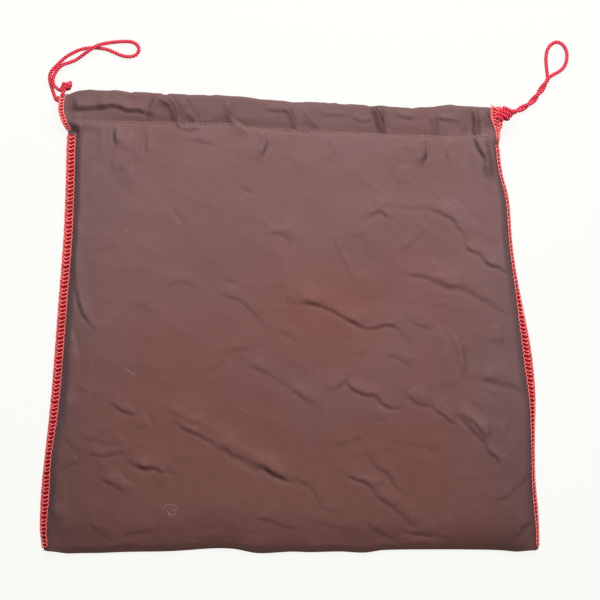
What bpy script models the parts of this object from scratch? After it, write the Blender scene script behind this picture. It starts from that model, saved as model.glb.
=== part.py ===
"""A drawstring dust bag of thin cloth, lying flat and empty on its back panel.

One cloth is folded at the bottom and turned over at the top into two casings.
The sides are overlocked in thick thread. Two cords run through both casings,
each turning back at the far side, and end in a knot and a loop at their corner.
"""
import math

import bpy
from mathutils import Vector

MM = 0.001

# Cloth: sizes of the bag as it lies
BOTTOM_WIDTH = 375.4 * MM
PANEL_HEIGHT = 322.0 * MM
CASING_DEPTH = 22.0 * MM
BOTTOM_LEVEL = -171.9 * MM
CLOTH = 0.4 * MM
HEM_TURN = 3.0 * MM
MOUTH_GAP = 5.0 * MM
BODY_HEIGHT = 11.4 * MM
SIDE_ROLL = 34.0 * MM
CASING_ROLL = 60.0 * MM
BACK_ROLL = 16.0 * MM
BOTTOM_FOLD_RADIUS = 1.3 * MM
LAYER_GAP = 0.1 * MM

# Cord and the clearance that every meeting pair keeps
CORD_DIAMETER = 3.0 * MM
CLEARANCE = 0.3 * MM
LEFT_CORD_ABOVE_STITCHES = 16.0 * MM

# Overlock of the side seams and of the casing ends
SEAM_WIDTH = 6.2 * MM
CASING_EDGE_WIDTH = 3.4 * MM
THREAD = 0.5 * MM
LOOP_PITCH = 3.0 * MM
LOOP_HEIGHT = 0.25 * MM
SEAM_END_BELOW_STITCHES = 8.0 * MM
SEAM_TOP_LIFT = 3.2 * MM
SEAM_SETTLE = 50.0 * MM

# Knots: length, width and height of the tied ball
LEFT_KNOT_SIZE = (6.4 * MM, 11.0 * MM, 7.0 * MM)
RIGHT_KNOT_SIZE = (8.0 * MM, 12.0 * MM, 8.4 * MM)

# Sizes that follow from those above
CORD_RADIUS = CORD_DIAMETER / 2
CHANNEL = CORD_DIAMETER + 2 * CLEARANCE
WALL_TO_WALL = CHANNEL + CLOTH
CASING_THICKNESS = CHANNEL + 2 * CLOTH
FOLD_RADIUS = WALL_TO_WALL / 2
PINCH = CLOTH + CLEARANCE
# Height of the stitch line above the underside of its casing
PINCH_LEVEL = 0.72 * CASING_THICKNESS
# Lowest middle of the front panel over the room that stays open inside
BODY_FLOOR = CASING_THICKNESS + MOUTH_GAP + CLOTH
RIGHT_CORD_ABOVE_STITCHES = LEFT_CORD_ABOVE_STITCHES - CORD_DIAMETER - 0.4 * MM
LAYER_OFFSET = (CLOTH + LAYER_GAP) / 2
SEAM_SLOT = CLOTH + LAYER_GAP / 2 + CLEARANCE
EDGE_SLOT = CLOTH / 2 + CLEARANCE
EDGE_REST = EDGE_SLOT + THREAD + LOOP_HEIGHT
HALF_WIDTH = BOTTOM_WIDTH / 2

# Outline, read up each side: share of the panel's height, inset from the widest point in mm
LEFT_INSET = ((0, 3.6), (0.03, 1.3), (0.06, 0), (0.17, 1.7), (0.35, 8.1), (0.59, 14.2),
              (0.73, 17.7), (0.82, 19.0), (0.94, 20.5), (1, 21.5))
RIGHT_INSET = ((0, 0.4), (0.03, 0), (0.095, 0.6), (0.17, 2.2), (0.27, 2.6), (0.365, 2.4), (0.44, 4.3),
               (0.51, 7.3), (0.61, 13.1), (0.68, 17.0), (0.75, 19.8), (0.85, 22.3), (0.92, 27.8), (1, 30.6))
# Tilt of each seam about its own line, in degrees: the same shares of the height
LEFT_TILT = ((0, 32), (0.06, 27), (0.13, 14), (0.22, 32), (0.33, 12), (0.6, 6), (1, 8))
RIGHT_TILT = ((0, 45), (0.1, 52), (0.2, 60), (0.32, 48), (0.44, 15), (0.5, 17), (0.63, 54),
              (0.75, 62), (1, 58))
# Across the width from left to right, in mm: the bottom fold, the stitch line and the casing's depth
BOTTOM_RISE = ((0, 1.0), (0.09, 0), (0.16, 1.1), (0.25, 1.9), (0.34, 3.6), (0.38, 3.6), (0.46, 1.1),
               (0.5, 1.9), (0.54, 0.8), (0.6, 1.8), (0.65, 0.8), (0.69, 2.3), (0.79, 3.6), (1, 2.4))
STITCH_DROP = ((0, 0), (0.2, 1.3), (0.32, 1.6), (0.39, 2.8), (0.45, 5.6), (0.51, 7.0), (0.6, 8.4),
               (0.7, 9.3), (0.8, 10.9), (0.92, 11.9), (1, 10.9))
DEPTH_CHANGE = ((0, -3.0), (0.05, 1.4), (0.2, 0.4), (0.32, -1.0), (0.45, -0.2), (0.68, -0.4),
                (0.8, -1.1), (0.92, 1.2), (1, -0.8))
# Where the casings end at the left and the right: X of the outer wall's cut edge at the stitches
LEFT_CASING_INSET = 16.6 * MM
RIGHT_CASING_INSET = 30.4 * MM
INNER_WALL_SHORTER = 10.5 * MM
END_FLARE = 1.7 * MM
WALL_END_REACH = 1.8 * MM

# Main folds of the front panel: points along the valley in mm, its depth and the half width in mm
FOLDS = (
    (((132, 57), (148, 44), (166, 37)), 1.5, 10),
    (((88, 36), (112, 39), (128, 30), (160, 8)), 1.2, 10),
    (((9, 17), (50, 1), (63, -4), (80, -2), (88, -8)), 1.5, 10),
    (((42, -42), (54, -55), (68, -57)), 1.4, 10),
    (((122, -10), (130, -22), (134, -37)), 1.2, 10),
    (((127, -68), (143, -84), (158, -108)), 1.3, 10),
    (((-74, -80), (-30, -103), (8, -119)), 1.4, 10),
    (((-68, 28), (-28, 12), (8, -10)), 1.0, 12),
    (((43, -112), (70, -132), (92, -146)), 1.2, 10),
    (((60, -98), (76, -116), (86, -128)), 1.2, 10),
    (((-114, -104), (-98, -108), (-88, -110)), 1.3, 10),
    (((-30, -32), (-14, -38), (4, -48)), 1.0, 10),
    (((-118, 142), (-116, 110), (-120, 98)), 0.9, 9),
    (((-160, 130), (-159, 60), (-157, 10), (-146, -4)), 1.3, 8),
)
# Gathers of the front casing: where each starts and ends in mm, and how far it stands up
GATHERS = (
    ((-164, 163), (-104, 164), 1.1), ((-96, 161), (-86, 151), 0.9), ((-77, 164), (-68, 151), 1.0),
    ((-45, 162), (-30, 144), 1.0), ((-2, 159), (6, 148), 0.9), ((14, 157), (21, 148), 0.9),
    ((64, 160), (72, 143), 1.0), ((107, 154), (113, 141), 1.0), ((126, 157), (131, 144), 1.1),
    ((138, 160), (139, 140), 1.2),
)
GATHER_HALF_WIDTH = 5.0 * MM

# Routes of the two loops outside the bag, in mm from the casing's end at the stitch line on the floor
LEFT_LOOP_ROUTE = (
    (-2.5, 16.2, 4.3), (-4.2, 17.3, 3.5), (-5.7, 20.3, 2.3), (-7.4, 25.0, 1.6), (-9.1, 30.6, 1.55),
    (-9.5, 34.5, 1.55), (-8.4, 38.4, 1.55), (-5.3, 42.1, 1.55), (-1.5, 45.9, 1.55),
    (2.6, 49.5, 1.55), (7.6, 52.5, 1.55), (12.5, 54.8, 1.55), (18.8, 56.3, 1.55),
    (24.1, 56.5, 1.55), (29.3, 56.1, 1.55), (33.9, 55.2, 1.55), (38.6, 53.3, 1.55),
    (43.7, 51.1, 1.55), (48.0, 50.0, 1.55), (52.1, 50.0, 1.55), (55.8, 51.5, 1.55),
    (57.7, 54.9, 1.55), (56.7, 58.2, 1.55), (53.6, 60.5, 1.55), (49.6, 61.3, 1.55),
    (43.7, 61.2, 1.55), (37.4, 60.6, 1.7), (32.2, 59.5, 2.9), (27.9, 58.1, 4.4),
    (23.5, 55.9, 4.9), (18.6, 52.8, 3.8), (14.0, 49.8, 2.4), (10.1, 47.2, 2.1),
    (5.9, 45.3, 2.9), (1.7, 43.7, 4.0), (-1.9, 41.2, 4.2), (-4.5, 37.9, 4.0),
    (-6.2, 34.2, 4.0), (-6.5, 30.6, 4.0), (-5.6, 27.8, 4.1), (-3.7, 25.9, 4.4),
)
RIGHT_LOOP_ROUTE = (
    (9.4, 20.2, 2.5), (13.1, 22.1, 2.8), (17.0, 23.7, 3.9), (21.5, 25.5, 4.8),
    (26.0, 27.8, 4.8), (30.2, 30.5, 4.1), (33.6, 34.5, 3.0), (35.9, 39.1, 1.9),
    (37.0, 44.0, 1.55), (36.7, 49.0, 1.55), (36.1, 54.3, 1.55), (35.9, 59.8, 1.55),
    (36.8, 65.4, 1.55), (39.6, 69.7, 1.55), (43.9, 71.7, 1.55), (48.4, 69.7, 1.55),
    (51.2, 64.9, 1.55), (51.5, 58.9, 1.55), (49.6, 53.3, 1.7), (45.6, 49.3, 2.6),
    (40.8, 46.7, 4.1), (37.2, 44.0, 4.9), (34.0, 40.1, 4.6), (30.9, 36.4, 3.5),
    (28.2, 32.6, 2.3), (25.3, 28.4, 1.55), (22.3, 24.4, 1.6), (18.4, 20.9, 2.5),
    (14.7, 18.9, 3.7), (10.4, 17.4, 4.2),
)
LEFT_KNOT_CENTRE = (0.9, 24.7, 5.4)
RIGHT_KNOT_CENTRE = (5.6, 16.7, 4.6)
LEFT_KNOT_TURN = -22.0
RIGHT_KNOT_TURN = 12.0
# The short ways from the casings to the knots, in mm from the same corner: front strand, then back strand
LEFT_ENTRY = (((-1.7, 19.0, 6.5), (-2.2, 17.3, 7.1), (-1.1, 16.2, 7.5)),
              ((-1.2, 16.0, 4.3),))
RIGHT_ENTRY = (((2.5, 12.8, 7.6), (1.7, 12.6, 7.6)), ((1.9, 12.7, 4.3),))

# Columns of cloth across the bag, as shares of its width, closer together near the sides
END_COLUMNS = (0, 0.01, 0.032, 0.06, 0.095, 0.135)
MIDDLE_COLUMNS = 13
ROW_STEP = 14.0 * MM
LEFT_SLOT = -1.0
RIGHT_SLOT = 2.0

COLOURS = {
    "cloth": (0.105, 0.055, 0.055, 1.0),
    "overlock": (0.72, 0.06, 0.07, 1.0),
    "cord": (0.62, 0.012, 0.035, 1.0),
}


def clear_scene():
    """Remove what the scene holds."""
    for item in list(bpy.data.objects):
        bpy.data.objects.remove(item, do_unlink=True)


def material(name, roughness):
    """One plain finish for a kind of piece."""
    finish = bpy.data.materials.get(name)
    if finish is None:
        finish = bpy.data.materials.new(name)
        finish.use_nodes = True
        shader = finish.node_tree.nodes["Principled BSDF"]
        shader.inputs["Base Color"].default_value = COLOURS[name]
        shader.inputs["Roughness"].default_value = roughness
        finish.diffuse_color = COLOURS[name]
    return finish


def smooth(t):
    """0 to 1 with level ends."""
    t = min(max(t, 0.0), 1.0)
    return t * t * (3 - 2 * t)


def swell(t):
    """0 to 1, steep at first and level at the end, as soft cloth rises from a seam."""
    return math.sin(min(max(t, 0.0), 1.0) * math.pi / 2)


def along(stations, t):
    """Value at t on a smooth curve through (place, value) stations."""
    places = [place for place, value in stations]
    t = min(max(t, places[0]), places[-1])
    k = max(i for i in range(len(places) - 1) if places[i] <= t)
    values = [value for place, value in stations]

    def slope(i):
        low, high = max(i - 1, 0), min(i + 1, len(places) - 1)
        return (values[high] - values[low]) / (places[high] - places[low])

    span = places[k + 1] - places[k]
    f = (t - places[k]) / span
    near = (1 + 2 * f) * (1 - f) ** 2 * values[k] + f * (1 - f) ** 2 * span * slope(k)
    far = f * f * (3 - 2 * f) * values[k + 1] - f * f * (1 - f) * span * slope(k + 1)
    return near + far


def seam_frame(side, share):
    """Middle, width direction and normal of a side seam at a share of the panel's height."""
    inset, tilt = (LEFT_INSET, LEFT_TILT) if side < 0 else (RIGHT_INSET, RIGHT_TILT)
    angle = math.radians(along(tilt, share))
    outward = Vector((side, 0, 0))
    across = outward * math.cos(angle) - Vector((0, 0, 1)) * math.sin(angle)
    normal = Vector((0, 0, 1)) * math.cos(angle) + outward * math.sin(angle)
    edge = 0 if side < 0 else 1
    below_end = (1 - share) * PANEL_HEIGHT - SEAM_END_BELOW_STITCHES
    rise = SEAM_TOP_LIFT * (1 - smooth(below_end / SEAM_SETTLE))
    half = SEAM_WIDTH / 2
    thick = SEAM_SLOT + THREAD
    reach = half * math.cos(angle) + thick * math.sin(angle)
    x = side * (HALF_WIDTH - along(inset, share) * MM - reach)
    y = panel_y(edge, share)
    z = (thick + LOOP_HEIGHT) * math.cos(angle) + half * math.sin(angle) + rise
    return Vector((x, y, z)), across, normal


def bottom_y(a):
    """Height of the bottom fold's start across the bag."""
    return BOTTOM_LEVEL + (along(BOTTOM_RISE, a)) * MM


def stitch_y(a):
    """Height of the casing's stitch line across the bag."""
    return BOTTOM_LEVEL + PANEL_HEIGHT - along(STITCH_DROP, a) * MM


def panel_y(a, share):
    a = min(max(a, 0.0), 1.0)
    return bottom_y(a) + (stitch_y(a) - bottom_y(a)) * share


def casing_depth(a):
    return CASING_DEPTH + along(DEPTH_CHANGE, min(max(a, 0.0), 1.0)) * MM


def casing_end_x(side):
    inset = LEFT_CASING_INSET if side < 0 else RIGHT_CASING_INSET
    return side * (HALF_WIDTH - inset)


def side_edge(side, share, front):
    """The cloth's cut edge at a side and the point just inside its overlock."""
    layer = LAYER_OFFSET if front else -LAYER_OFFSET
    end_share = 1 - SEAM_END_BELOW_STITCHES / PANEL_HEIGHT
    middle, across, normal = seam_frame(side, min(share, end_share))
    cut = middle + across * (SEAM_WIDTH / 2 - THREAD - CLEARANCE) + normal * layer
    inside = middle - across * (SEAM_WIDTH / 2 + CLEARANCE) + normal * layer
    if share > end_share:
        a = 0 if side < 0 else 1
        t = smooth((share - end_share) / (1 - end_share))
        z = casing_end_z(front)
        x = casing_end_x(side)
        end_cut = Vector((x, 0, z))
        end_inside = Vector((x - side * (CASING_EDGE_WIDTH + CLEARANCE), 0, z))
        cut = cut.lerp(end_cut, t)
        inside = inside.lerp(end_inside, t)
        cut.y = panel_y(a, share)
        inside.y = panel_y(a, share)
    return cut, inside


def from_corner(side, points):
    """Places given in mm from the casing's end at the stitch line."""
    corner = Vector((casing_end_x(side), stitch_y(0 if side < 0 else 1), 0))
    return [corner + Vector(point) * MM for point in points]


def casing_end_z(front):
    """Height of the outer wall's edge where the casing ends, pressed together or flared."""
    if front:
        return CASING_THICKNESS + CLEARANCE + CLOTH / 2 + WALL_TO_WALL + END_FLARE
    return EDGE_REST


def side_distance(a, left, right):
    """Distance to the nearer side along the panel, from a share of its width."""
    width = right.x - left.x
    return min(a, 1 - a) * width


def fold_relief(x, y):
    """Height that the main folds add at a place on the front panel."""
    height = 0.0
    for points, depth, half_width in FOLDS:
        best, signed = None, 0.0
        for start, end in zip(points, points[1:]):
            run = Vector((end[0] - start[0], end[1] - start[1]))
            to = Vector((x / MM - start[0], y / MM - start[1]))
            f = min(max(to.dot(run) / run.length_squared, 0), 1)
            away = to - run * f
            if best is None or away.length < best:
                best = away.length
                signed = away.length * (1 if run.x * to.y - run.y * to.x > 0 else -1)
        valley = math.exp(-(best / half_width) ** 2)
        ridge = math.exp(-((signed - 1.5 * half_width) / half_width) ** 2)
        height += depth * (0.8 * ridge - valley)
    return height * MM


def slow_waves(x, y):
    """Long, low undulation of the whole panel."""
    u, v = x / MM, y / MM
    return (0.5 * math.sin(u / 31 + v / 47) + 0.4 * math.sin(u / 19 - v / 37 + 1.3)) * MM


def gather_relief(x, y):
    """Height that the gathers add on the front casing."""
    height = 0.0
    place = Vector((x, y))
    for start, end, rise in GATHERS:
        first, run = Vector(start) * MM, (Vector(end) - Vector(start)) * MM
        f = min(max((place - first).dot(run) / run.length_squared, 0), 1)
        away = (place - first - run * f).length
        height += rise * math.exp(-(away / GATHER_HALF_WIDTH) ** 2)
    return height * MM


def flat_front_z(a, share, left, right):
    """Height of the front panel before its folds: low at the seams and the bottom fold."""
    distance = side_distance(a, left, right)
    side_z = left.z if a < 0.5 else right.z
    fold_z = CLOTH / 2 + 2 * BOTTOM_FOLD_RADIUS
    low = share * PANEL_HEIGHT
    near_bottom = 1 - smooth(low / SIDE_ROLL)
    near_side = math.exp(-(distance / (SIDE_ROLL / 2)) ** 2)
    base = side_z + (fold_z - side_z) * near_bottom * (1 - near_side)
    top_z = MOUTH_GAP + CASING_THICKNESS + PINCH_LEVEL
    near_top = smooth(1 - (1 - share) * PANEL_HEIGHT / SEAM_SETTLE)
    high = BODY_HEIGHT + (top_z - BODY_HEIGHT) * near_top
    return base + (high - base) * swell(distance / SIDE_ROLL) * swell(low / SIDE_ROLL)


def front_point(a, share):
    """Middle of the cloth's thickness on the front panel."""
    left_cut, left = side_edge(-1, share, True)
    right_cut, right = side_edge(1, share, True)
    if a < 0:
        return left.lerp(left_cut, -a)
    if a > 1:
        return right.lerp(right_cut, a - 1)
    x = left.x + (right.x - left.x) * a
    y = panel_y(a, share)
    distance = side_distance(a, left, right)
    free = smooth(distance / SIDE_ROLL) * smooth(share * PANEL_HEIGHT / SIDE_ROLL)
    relief = (fold_relief(x, y) + slow_waves(x, y)) * free * (1 - smooth((share - 0.85) / 0.13))
    floor = BODY_FLOOR if distance > SIDE_ROLL and share * PANEL_HEIGHT > SIDE_ROLL else 0
    return Vector((x, y, max(flat_front_z(a, share, left, right) + relief, floor)))


def back_point(a, share):
    """Middle of the cloth's thickness on the back panel, which lies on the floor."""
    left_cut, left = side_edge(-1, share, False)
    right_cut, right = side_edge(1, share, False)
    if a < 0:
        return left.lerp(left_cut, -a)
    if a > 1:
        return right.lerp(right_cut, a - 1)
    x = left.x + (right.x - left.x) * a
    side_z = left.z if a < 0.5 else right.z
    drop = smooth(side_distance(a, left, right) / BACK_ROLL)
    return Vector((x, panel_y(a, share), side_z + (CLOTH / 2 - side_z) * drop))


def casing_level(x, front):
    """Underside of the front casing, or the floor for the back one."""
    if not front:
        return 0.0
    near = min(x - casing_end_x(-1), casing_end_x(1) - x)
    return CASING_THICKNESS + CLEARANCE + (MOUTH_GAP - CLEARANCE) * swell(near / CASING_ROLL)


def outer_wall_point(a, height, front):
    """Casing's outer wall at a height above the stitch line."""
    start = front_point(a, 1) if front else back_point(a, 1)
    full = casing_level(start.x, front) + CLOTH / 2 + (WALL_TO_WALL if front else 0)
    inside = min(start.x - casing_end_x(-1), casing_end_x(1) - start.x) - CASING_EDGE_WIDTH - CLEARANCE
    full += (casing_end_z(front) - full) * (1 - smooth(inside / CASING_EDGE_WIDTH))
    z = start.z + (full - start.z) * smooth(height / (CASING_DEPTH / 3))
    y = stitch_y(min(max(a, 0), 1)) + height
    if front and 0 < a < 1:
        z += gather_relief(start.x, y) * smooth(height / (CASING_DEPTH / 4))
    return Vector((start.x, y, z))


def inner_wall_point(a, height, front):
    """Casing's inner wall: shorter than the outer one, so that a cord can turn there."""
    left = casing_end_x(-1) + INNER_WALL_SHORTER
    right = casing_end_x(1) - INNER_WALL_SHORTER
    x = left + (right - left) * min(max(a, 0), 1)
    if not 0 <= a <= 1:
        x += math.copysign(WALL_END_REACH / 2, a)
    at = min(max(a, 0), 1)
    away = WALL_TO_WALL if not front else 0
    full = casing_level(x, front) + CLOTH / 2 + away
    outer = outer_wall_point(at, 0, front)
    pinched = outer.z - PINCH if front else CLOTH / 2 + PINCH
    z = pinched + (full - pinched) * smooth(height / (CASING_DEPTH / 3))
    return Vector((x, stitch_y(at) + height, z))


def casing_rows(front, columns):
    """Rows of a casing from the stitch line over the top fold to the hem's cut edge."""
    rows = []
    for share in (0.18, 0.36, 0.55, 0.75):
        rows.append([outer_wall_point(a, share * CASING_DEPTH, front) for a in columns])
    for degrees in (0, 60, 120, 180):
        angle = math.radians(degrees)
        row = []
        for a in columns:
            height = casing_depth(a) - FOLD_RADIUS
            outer = outer_wall_point(a, height, front)
            inner = inner_wall_point(a, height, front)
            point = outer.lerp(inner, (1 - math.cos(angle)) / 2)
            point.y += FOLD_RADIUS * math.sin(angle)
            row.append(point)
        rows.append(row)
    for share in (0.6, 0.36, 0.18, 0):
        rows.append([inner_wall_point(a, share * CASING_DEPTH, front) for a in columns])
    rows.append([inner_wall_point(a, -HEM_TURN, front) for a in columns])
    return rows


def bottom_fold_rows(columns):
    rows = []
    for degrees in (135, 90, 45):
        angle = math.radians(degrees)
        row = []
        for a in columns:
            back, front = back_point(a, 0), front_point(a, 0)
            middle = (back + front) / 2
            reach = (front - back) / 2
            row.append(middle - reach * math.cos(angle) - Vector((0, 1, 0)) * reach.length * math.sin(angle))
        rows.append(row)
    return rows


def cloth_columns():
    """Shares of the width for the columns, with the cut edges inside the seams."""
    inner = END_COLUMNS[-1]
    middle = [inner + (1 - 2 * inner) * i / MIDDLE_COLUMNS for i in range(1, MIDDLE_COLUMNS)]
    right = [1 - share for share in reversed(END_COLUMNS)]
    return [LEFT_SLOT] + list(END_COLUMNS) + middle + right + [RIGHT_SLOT]


def panel_shares(step):
    """Shares of the height for a panel's rows, close together above and below."""
    near_top = [1 - d * MM / PANEL_HEIGHT for d in (3, 8, 13, 20, 30, 42)]
    low = 6 * MM / PANEL_HEIGHT
    count = round((near_top[-1] - low) * PANEL_HEIGHT / step)
    rest = [near_top[-1] + (low - near_top[-1]) * i / count for i in range(1, count + 1)]
    return [1.0] + near_top + rest + [0.0]


def stitch_faces(mesh_rows, columns_of):
    """Faces between rows that may have different columns, zipped by their shares."""
    faces = []
    for r in range(len(mesh_rows) - 1):
        low, high = mesh_rows[r], mesh_rows[r + 1]
        low_at, high_at = columns_of[r], columns_of[r + 1]
        if low_at == high_at:
            for i in range(len(low) - 1):
                faces.append((low[i], low[i + 1], high[i + 1], high[i]))
            continue
        i = j = 0
        while i < len(low) - 1 or j < len(high) - 1:
            step_low = i < len(low) - 1 and (j == len(high) - 1 or low_at[i + 1] <= high_at[j + 1])
            if step_low:
                faces.append((low[i], low[i + 1], high[j]))
                i += 1
            else:
                faces.append((low[i], high[j + 1], high[j]))
                j += 1
    return faces


def add_object(name, points, faces, finish):
    """A mesh object of its own, in place."""
    mesh = bpy.data.meshes.new(name)
    mesh.from_pydata([tuple(point) for point in points], [], faces)
    mesh.update()
    item = bpy.data.objects.new(name, mesh)
    bpy.context.collection.objects.link(item)
    mesh.materials.append(finish)
    return item


def build_cloth():
    """The whole cloth: front casing, front panel, bottom fold, back panel, back casing."""
    fine = cloth_columns()
    coarse = fine[:3] + fine[3:-3:3] + fine[-3:]
    rows = [(row, fine) for row in reversed(casing_rows(True, fine))]
    for share in panel_shares(ROW_STEP):
        rows.append(([front_point(a, share) for a in fine], fine))
    rows += [(row, fine) for row in bottom_fold_rows(fine)]
    for share in reversed(panel_shares(ROW_STEP)):
        rows.append(([back_point(a, share) for a in coarse], coarse))
    rows += [(row, coarse) for row in casing_rows(False, coarse)]
    points, indices = [], []
    for row, columns in rows:
        indices.append(list(range(len(points), len(points) + len(row))))
        points += row
    faces = stitch_faces(indices, [columns for row, columns in rows])
    cloth = add_object("bag_cloth", points, faces, material("cloth", 0.55))
    cloth.data.shade_smooth()
    wall = cloth.modifiers.new("cloth thickness", "SOLIDIFY")
    wall.thickness = CLOTH
    wall.offset = 0
    return cloth


def ribbed_strip(name, frames, width, slot, finish):
    """A strip of overlock: a clip-shaped section around the cloth's edge, ribbed by its loops."""
    half = width / 2
    points = []
    for index, (middle, across, normal) in enumerate(frames):
        thread = THREAD + (LOOP_HEIGHT if index % 2 else 0)
        lip = slot + 0.4 * thread
        section = ((half, -slot - thread), (half, slot + thread), (-half, lip),
                   (half - THREAD, slot), (half - THREAD, -slot), (-half, -lip))
        for w, n in section:
            points.append(middle + across * w + normal * n)
    sides = 6
    faces = []
    for ring in range(len(frames) - 1):
        for k in range(sides):
            a, b = ring * sides + k, ring * sides + (k + 1) % sides
            faces.append((a, b, b + sides, a + sides))
    last = (len(frames) - 1) * sides
    for start, turn in ((0, 1), (last, -1)):
        halves = ((0, 1, 2, 3), (0, 3, 4), (0, 4, 5))
        for loop in halves:
            faces.append(tuple(start + k for k in loop[::-turn]))
    strip = add_object(name, points, faces, finish)
    return strip


def build_side_seam(side, name):
    """Overlock of a side, from the bottom fold to just below the stitch line."""
    end_share = 1 - (SEAM_END_BELOW_STITCHES + CLEARANCE) / PANEL_HEIGHT
    start_share = 0.4 * MM / PANEL_HEIGHT
    count = 2 * round((end_share - start_share) * PANEL_HEIGHT / LOOP_PITCH)
    frames = []
    for i in range(count + 1):
        share = start_share + (end_share - start_share) * i / count
        frames.append(seam_frame(side, share))
    strip = ribbed_strip(name, frames, SEAM_WIDTH, SEAM_SLOT, material("overlock", 0.6))
    face_out(strip)
    return strip


def build_casing_edge(side, front, name):
    """Overlock of one end of a casing, around its outer wall's cut edge."""
    a_cut = LEFT_SLOT if side < 0 else RIGHT_SLOT
    top = casing_depth(0 if side < 0 else 1) - FOLD_RADIUS - CLEARANCE
    count = 2 * round(top / LOOP_PITCH)
    across = Vector((side, 0, 0))
    frames = []
    for i in range(count + 1):
        cut = outer_wall_point(a_cut, top * i / count, front)
        middle = cut + across * (THREAD + CLEARANCE - CASING_EDGE_WIDTH / 2)
        frames.append((middle, across, Vector((0, 0, 1))))
    strip = ribbed_strip(name, frames, CASING_EDGE_WIDTH, EDGE_SLOT, material("overlock", 0.6))
    face_out(strip)
    return strip


def face_out(item):
    """Turn the faces outward if the closed mesh has them inward."""
    mesh = item.data
    volume = 0.0
    mesh.calc_loop_triangles()
    for triangle in mesh.loop_triangles:
        a, b, c = (mesh.vertices[i].co for i in triangle.vertices)
        volume += a.dot(b.cross(c))
    if volume < 0:
        mesh.flip_normals()


def smooth_route(route, step):
    """Points every step along a smooth curve through a route's own points."""
    stations = [0.0]
    for first, second in zip(route, route[1:]):
        stations.append(stations[-1] + (second - first).length)
    count = max(2, round(stations[-1] / step))
    result = []
    for i in range(count + 1):
        at = stations[-1] * i / count
        result.append(Vector(along(list(zip(stations, [p[k] for p in route])), at) for k in range(3)))
    return result


def cord_tube(name, points):
    """A round tube of cord along the points, with flat ends."""
    curve = bpy.data.curves.new(name, "CURVE")
    curve.dimensions = "3D"
    curve.bevel_depth = CORD_RADIUS
    curve.bevel_resolution = 2
    curve.use_fill_caps = True
    line = curve.splines.new("POLY")
    line.points.add(len(points) - 1)
    for target, point in zip(line.points, points):
        target.co = (point.x, point.y, point.z, 1)
    tube = bpy.data.objects.new(name, curve)
    bpy.context.collection.objects.link(tube)
    curve.materials.append(material("cord", 0.45))
    return tube


def cord_run(side, name):
    """A cord inside both casings: in at its own corner, round the far side and back."""
    height = LEFT_CORD_ABOVE_STITCHES if side < 0 else RIGHT_CORD_ABOVE_STITCHES
    entry = LEFT_ENTRY if side < 0 else RIGHT_ENTRY
    near, far = casing_end_x(side), casing_end_x(-side)
    left_end, width = casing_end_x(-1), casing_end_x(1) - casing_end_x(-1)
    low = CLOTH + CLEARANCE + CORD_RADIUS

    def place(x, z):
        a = (x - left_end) / width
        return Vector((x, stitch_y(min(max(a, 0), 1)) + height, z))

    def high(x):
        return casing_level(x, True) + low

    in_wall = near - side * (INNER_WALL_SHORTER + CORD_DIAMETER)
    wall_end = near - side * (INNER_WALL_SHORTER - WALL_END_REACH)
    turn = far + side * (INNER_WALL_SHORTER - WALL_END_REACH)
    columns = [share for share in cloth_columns() if 0 <= share <= 1]
    inner = [left_end + INNER_WALL_SHORTER + (width - 2 * INNER_WALL_SHORTER) * a for a in columns]
    across = sorted(x for x in inner if min(in_wall, turn) < x < max(in_wall, turn))
    across = across if side < 0 else across[::-1]
    front_exit = casing_end_z(True) - EDGE_REST - CLEARANCE - CORD_RADIUS
    back_exit = 2 * EDGE_REST + CLEARANCE + CORD_RADIUS
    strip_edge = near - side * CASING_EDGE_WIDTH
    points = from_corner(side, entry[0])
    points += [place(strip_edge, front_exit), place(wall_end, high(wall_end))]
    points += [place(x, high(x)) for x in across]
    radius = (high(turn) - low) / 2
    for degrees in range(0, 181, 30):
        angle = math.radians(degrees)
        points.append(place(turn - side * radius * math.sin(angle), low + radius * (1 + math.cos(angle))))
    points += [place(x, low) for x in across[::-1] if x in inner[::2]]
    points += [place(wall_end, low), place(strip_edge, back_exit)]
    points += from_corner(side, entry[1])
    return cord_tube(name, points)


def build_knot(name, place, size, turn):
    """A tied knot: a ball with the turns of the cord wound round it."""
    rings, around = 10, 20
    length, width, height = size[1] / 2, size[0] / 2, size[2] / 2
    angle = math.radians(turn)
    points = [Vector((0, -length, 0))]
    for r in range(1, rings):
        polar = math.pi * r / rings
        for k in range(around):
            azimuth = 2 * math.pi * k / around
            groove = 1 + 0.13 * math.cos(3 * azimuth + 4.2 * polar)
            points.append(Vector((width * math.sin(polar) * math.cos(azimuth) * groove,
                                  -length * math.cos(polar),
                                  height * math.sin(polar) * math.sin(azimuth) * groove)))
    points.append(Vector((0, length, 0)))
    last = len(points) - 1
    faces = []
    for k in range(around):
        faces.append((0, 1 + (k + 1) % around, 1 + k))
        faces.append((last, last - around + k, last - around + (k + 1) % around))
        for r in range(rings - 2):
            a, b = 1 + r * around + k, 1 + r * around + (k + 1) % around
            faces.append((a, b, b + around, a + around))
    turned = []
    for point in points:
        x = point.x * math.cos(angle) - point.y * math.sin(angle)
        y = point.x * math.sin(angle) + point.y * math.cos(angle)
        turned.append(place + Vector((x, y, point.z)))
    knot = add_object(name, turned, faces, material("cord", 0.45))
    face_out(knot)
    knot.data.shade_smooth()
    return knot


def build_loop(name, points):
    """The cord outside the bag, along its own route."""
    return cord_tube(name, smooth_route(points, 2 * CORD_DIAMETER))


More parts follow.
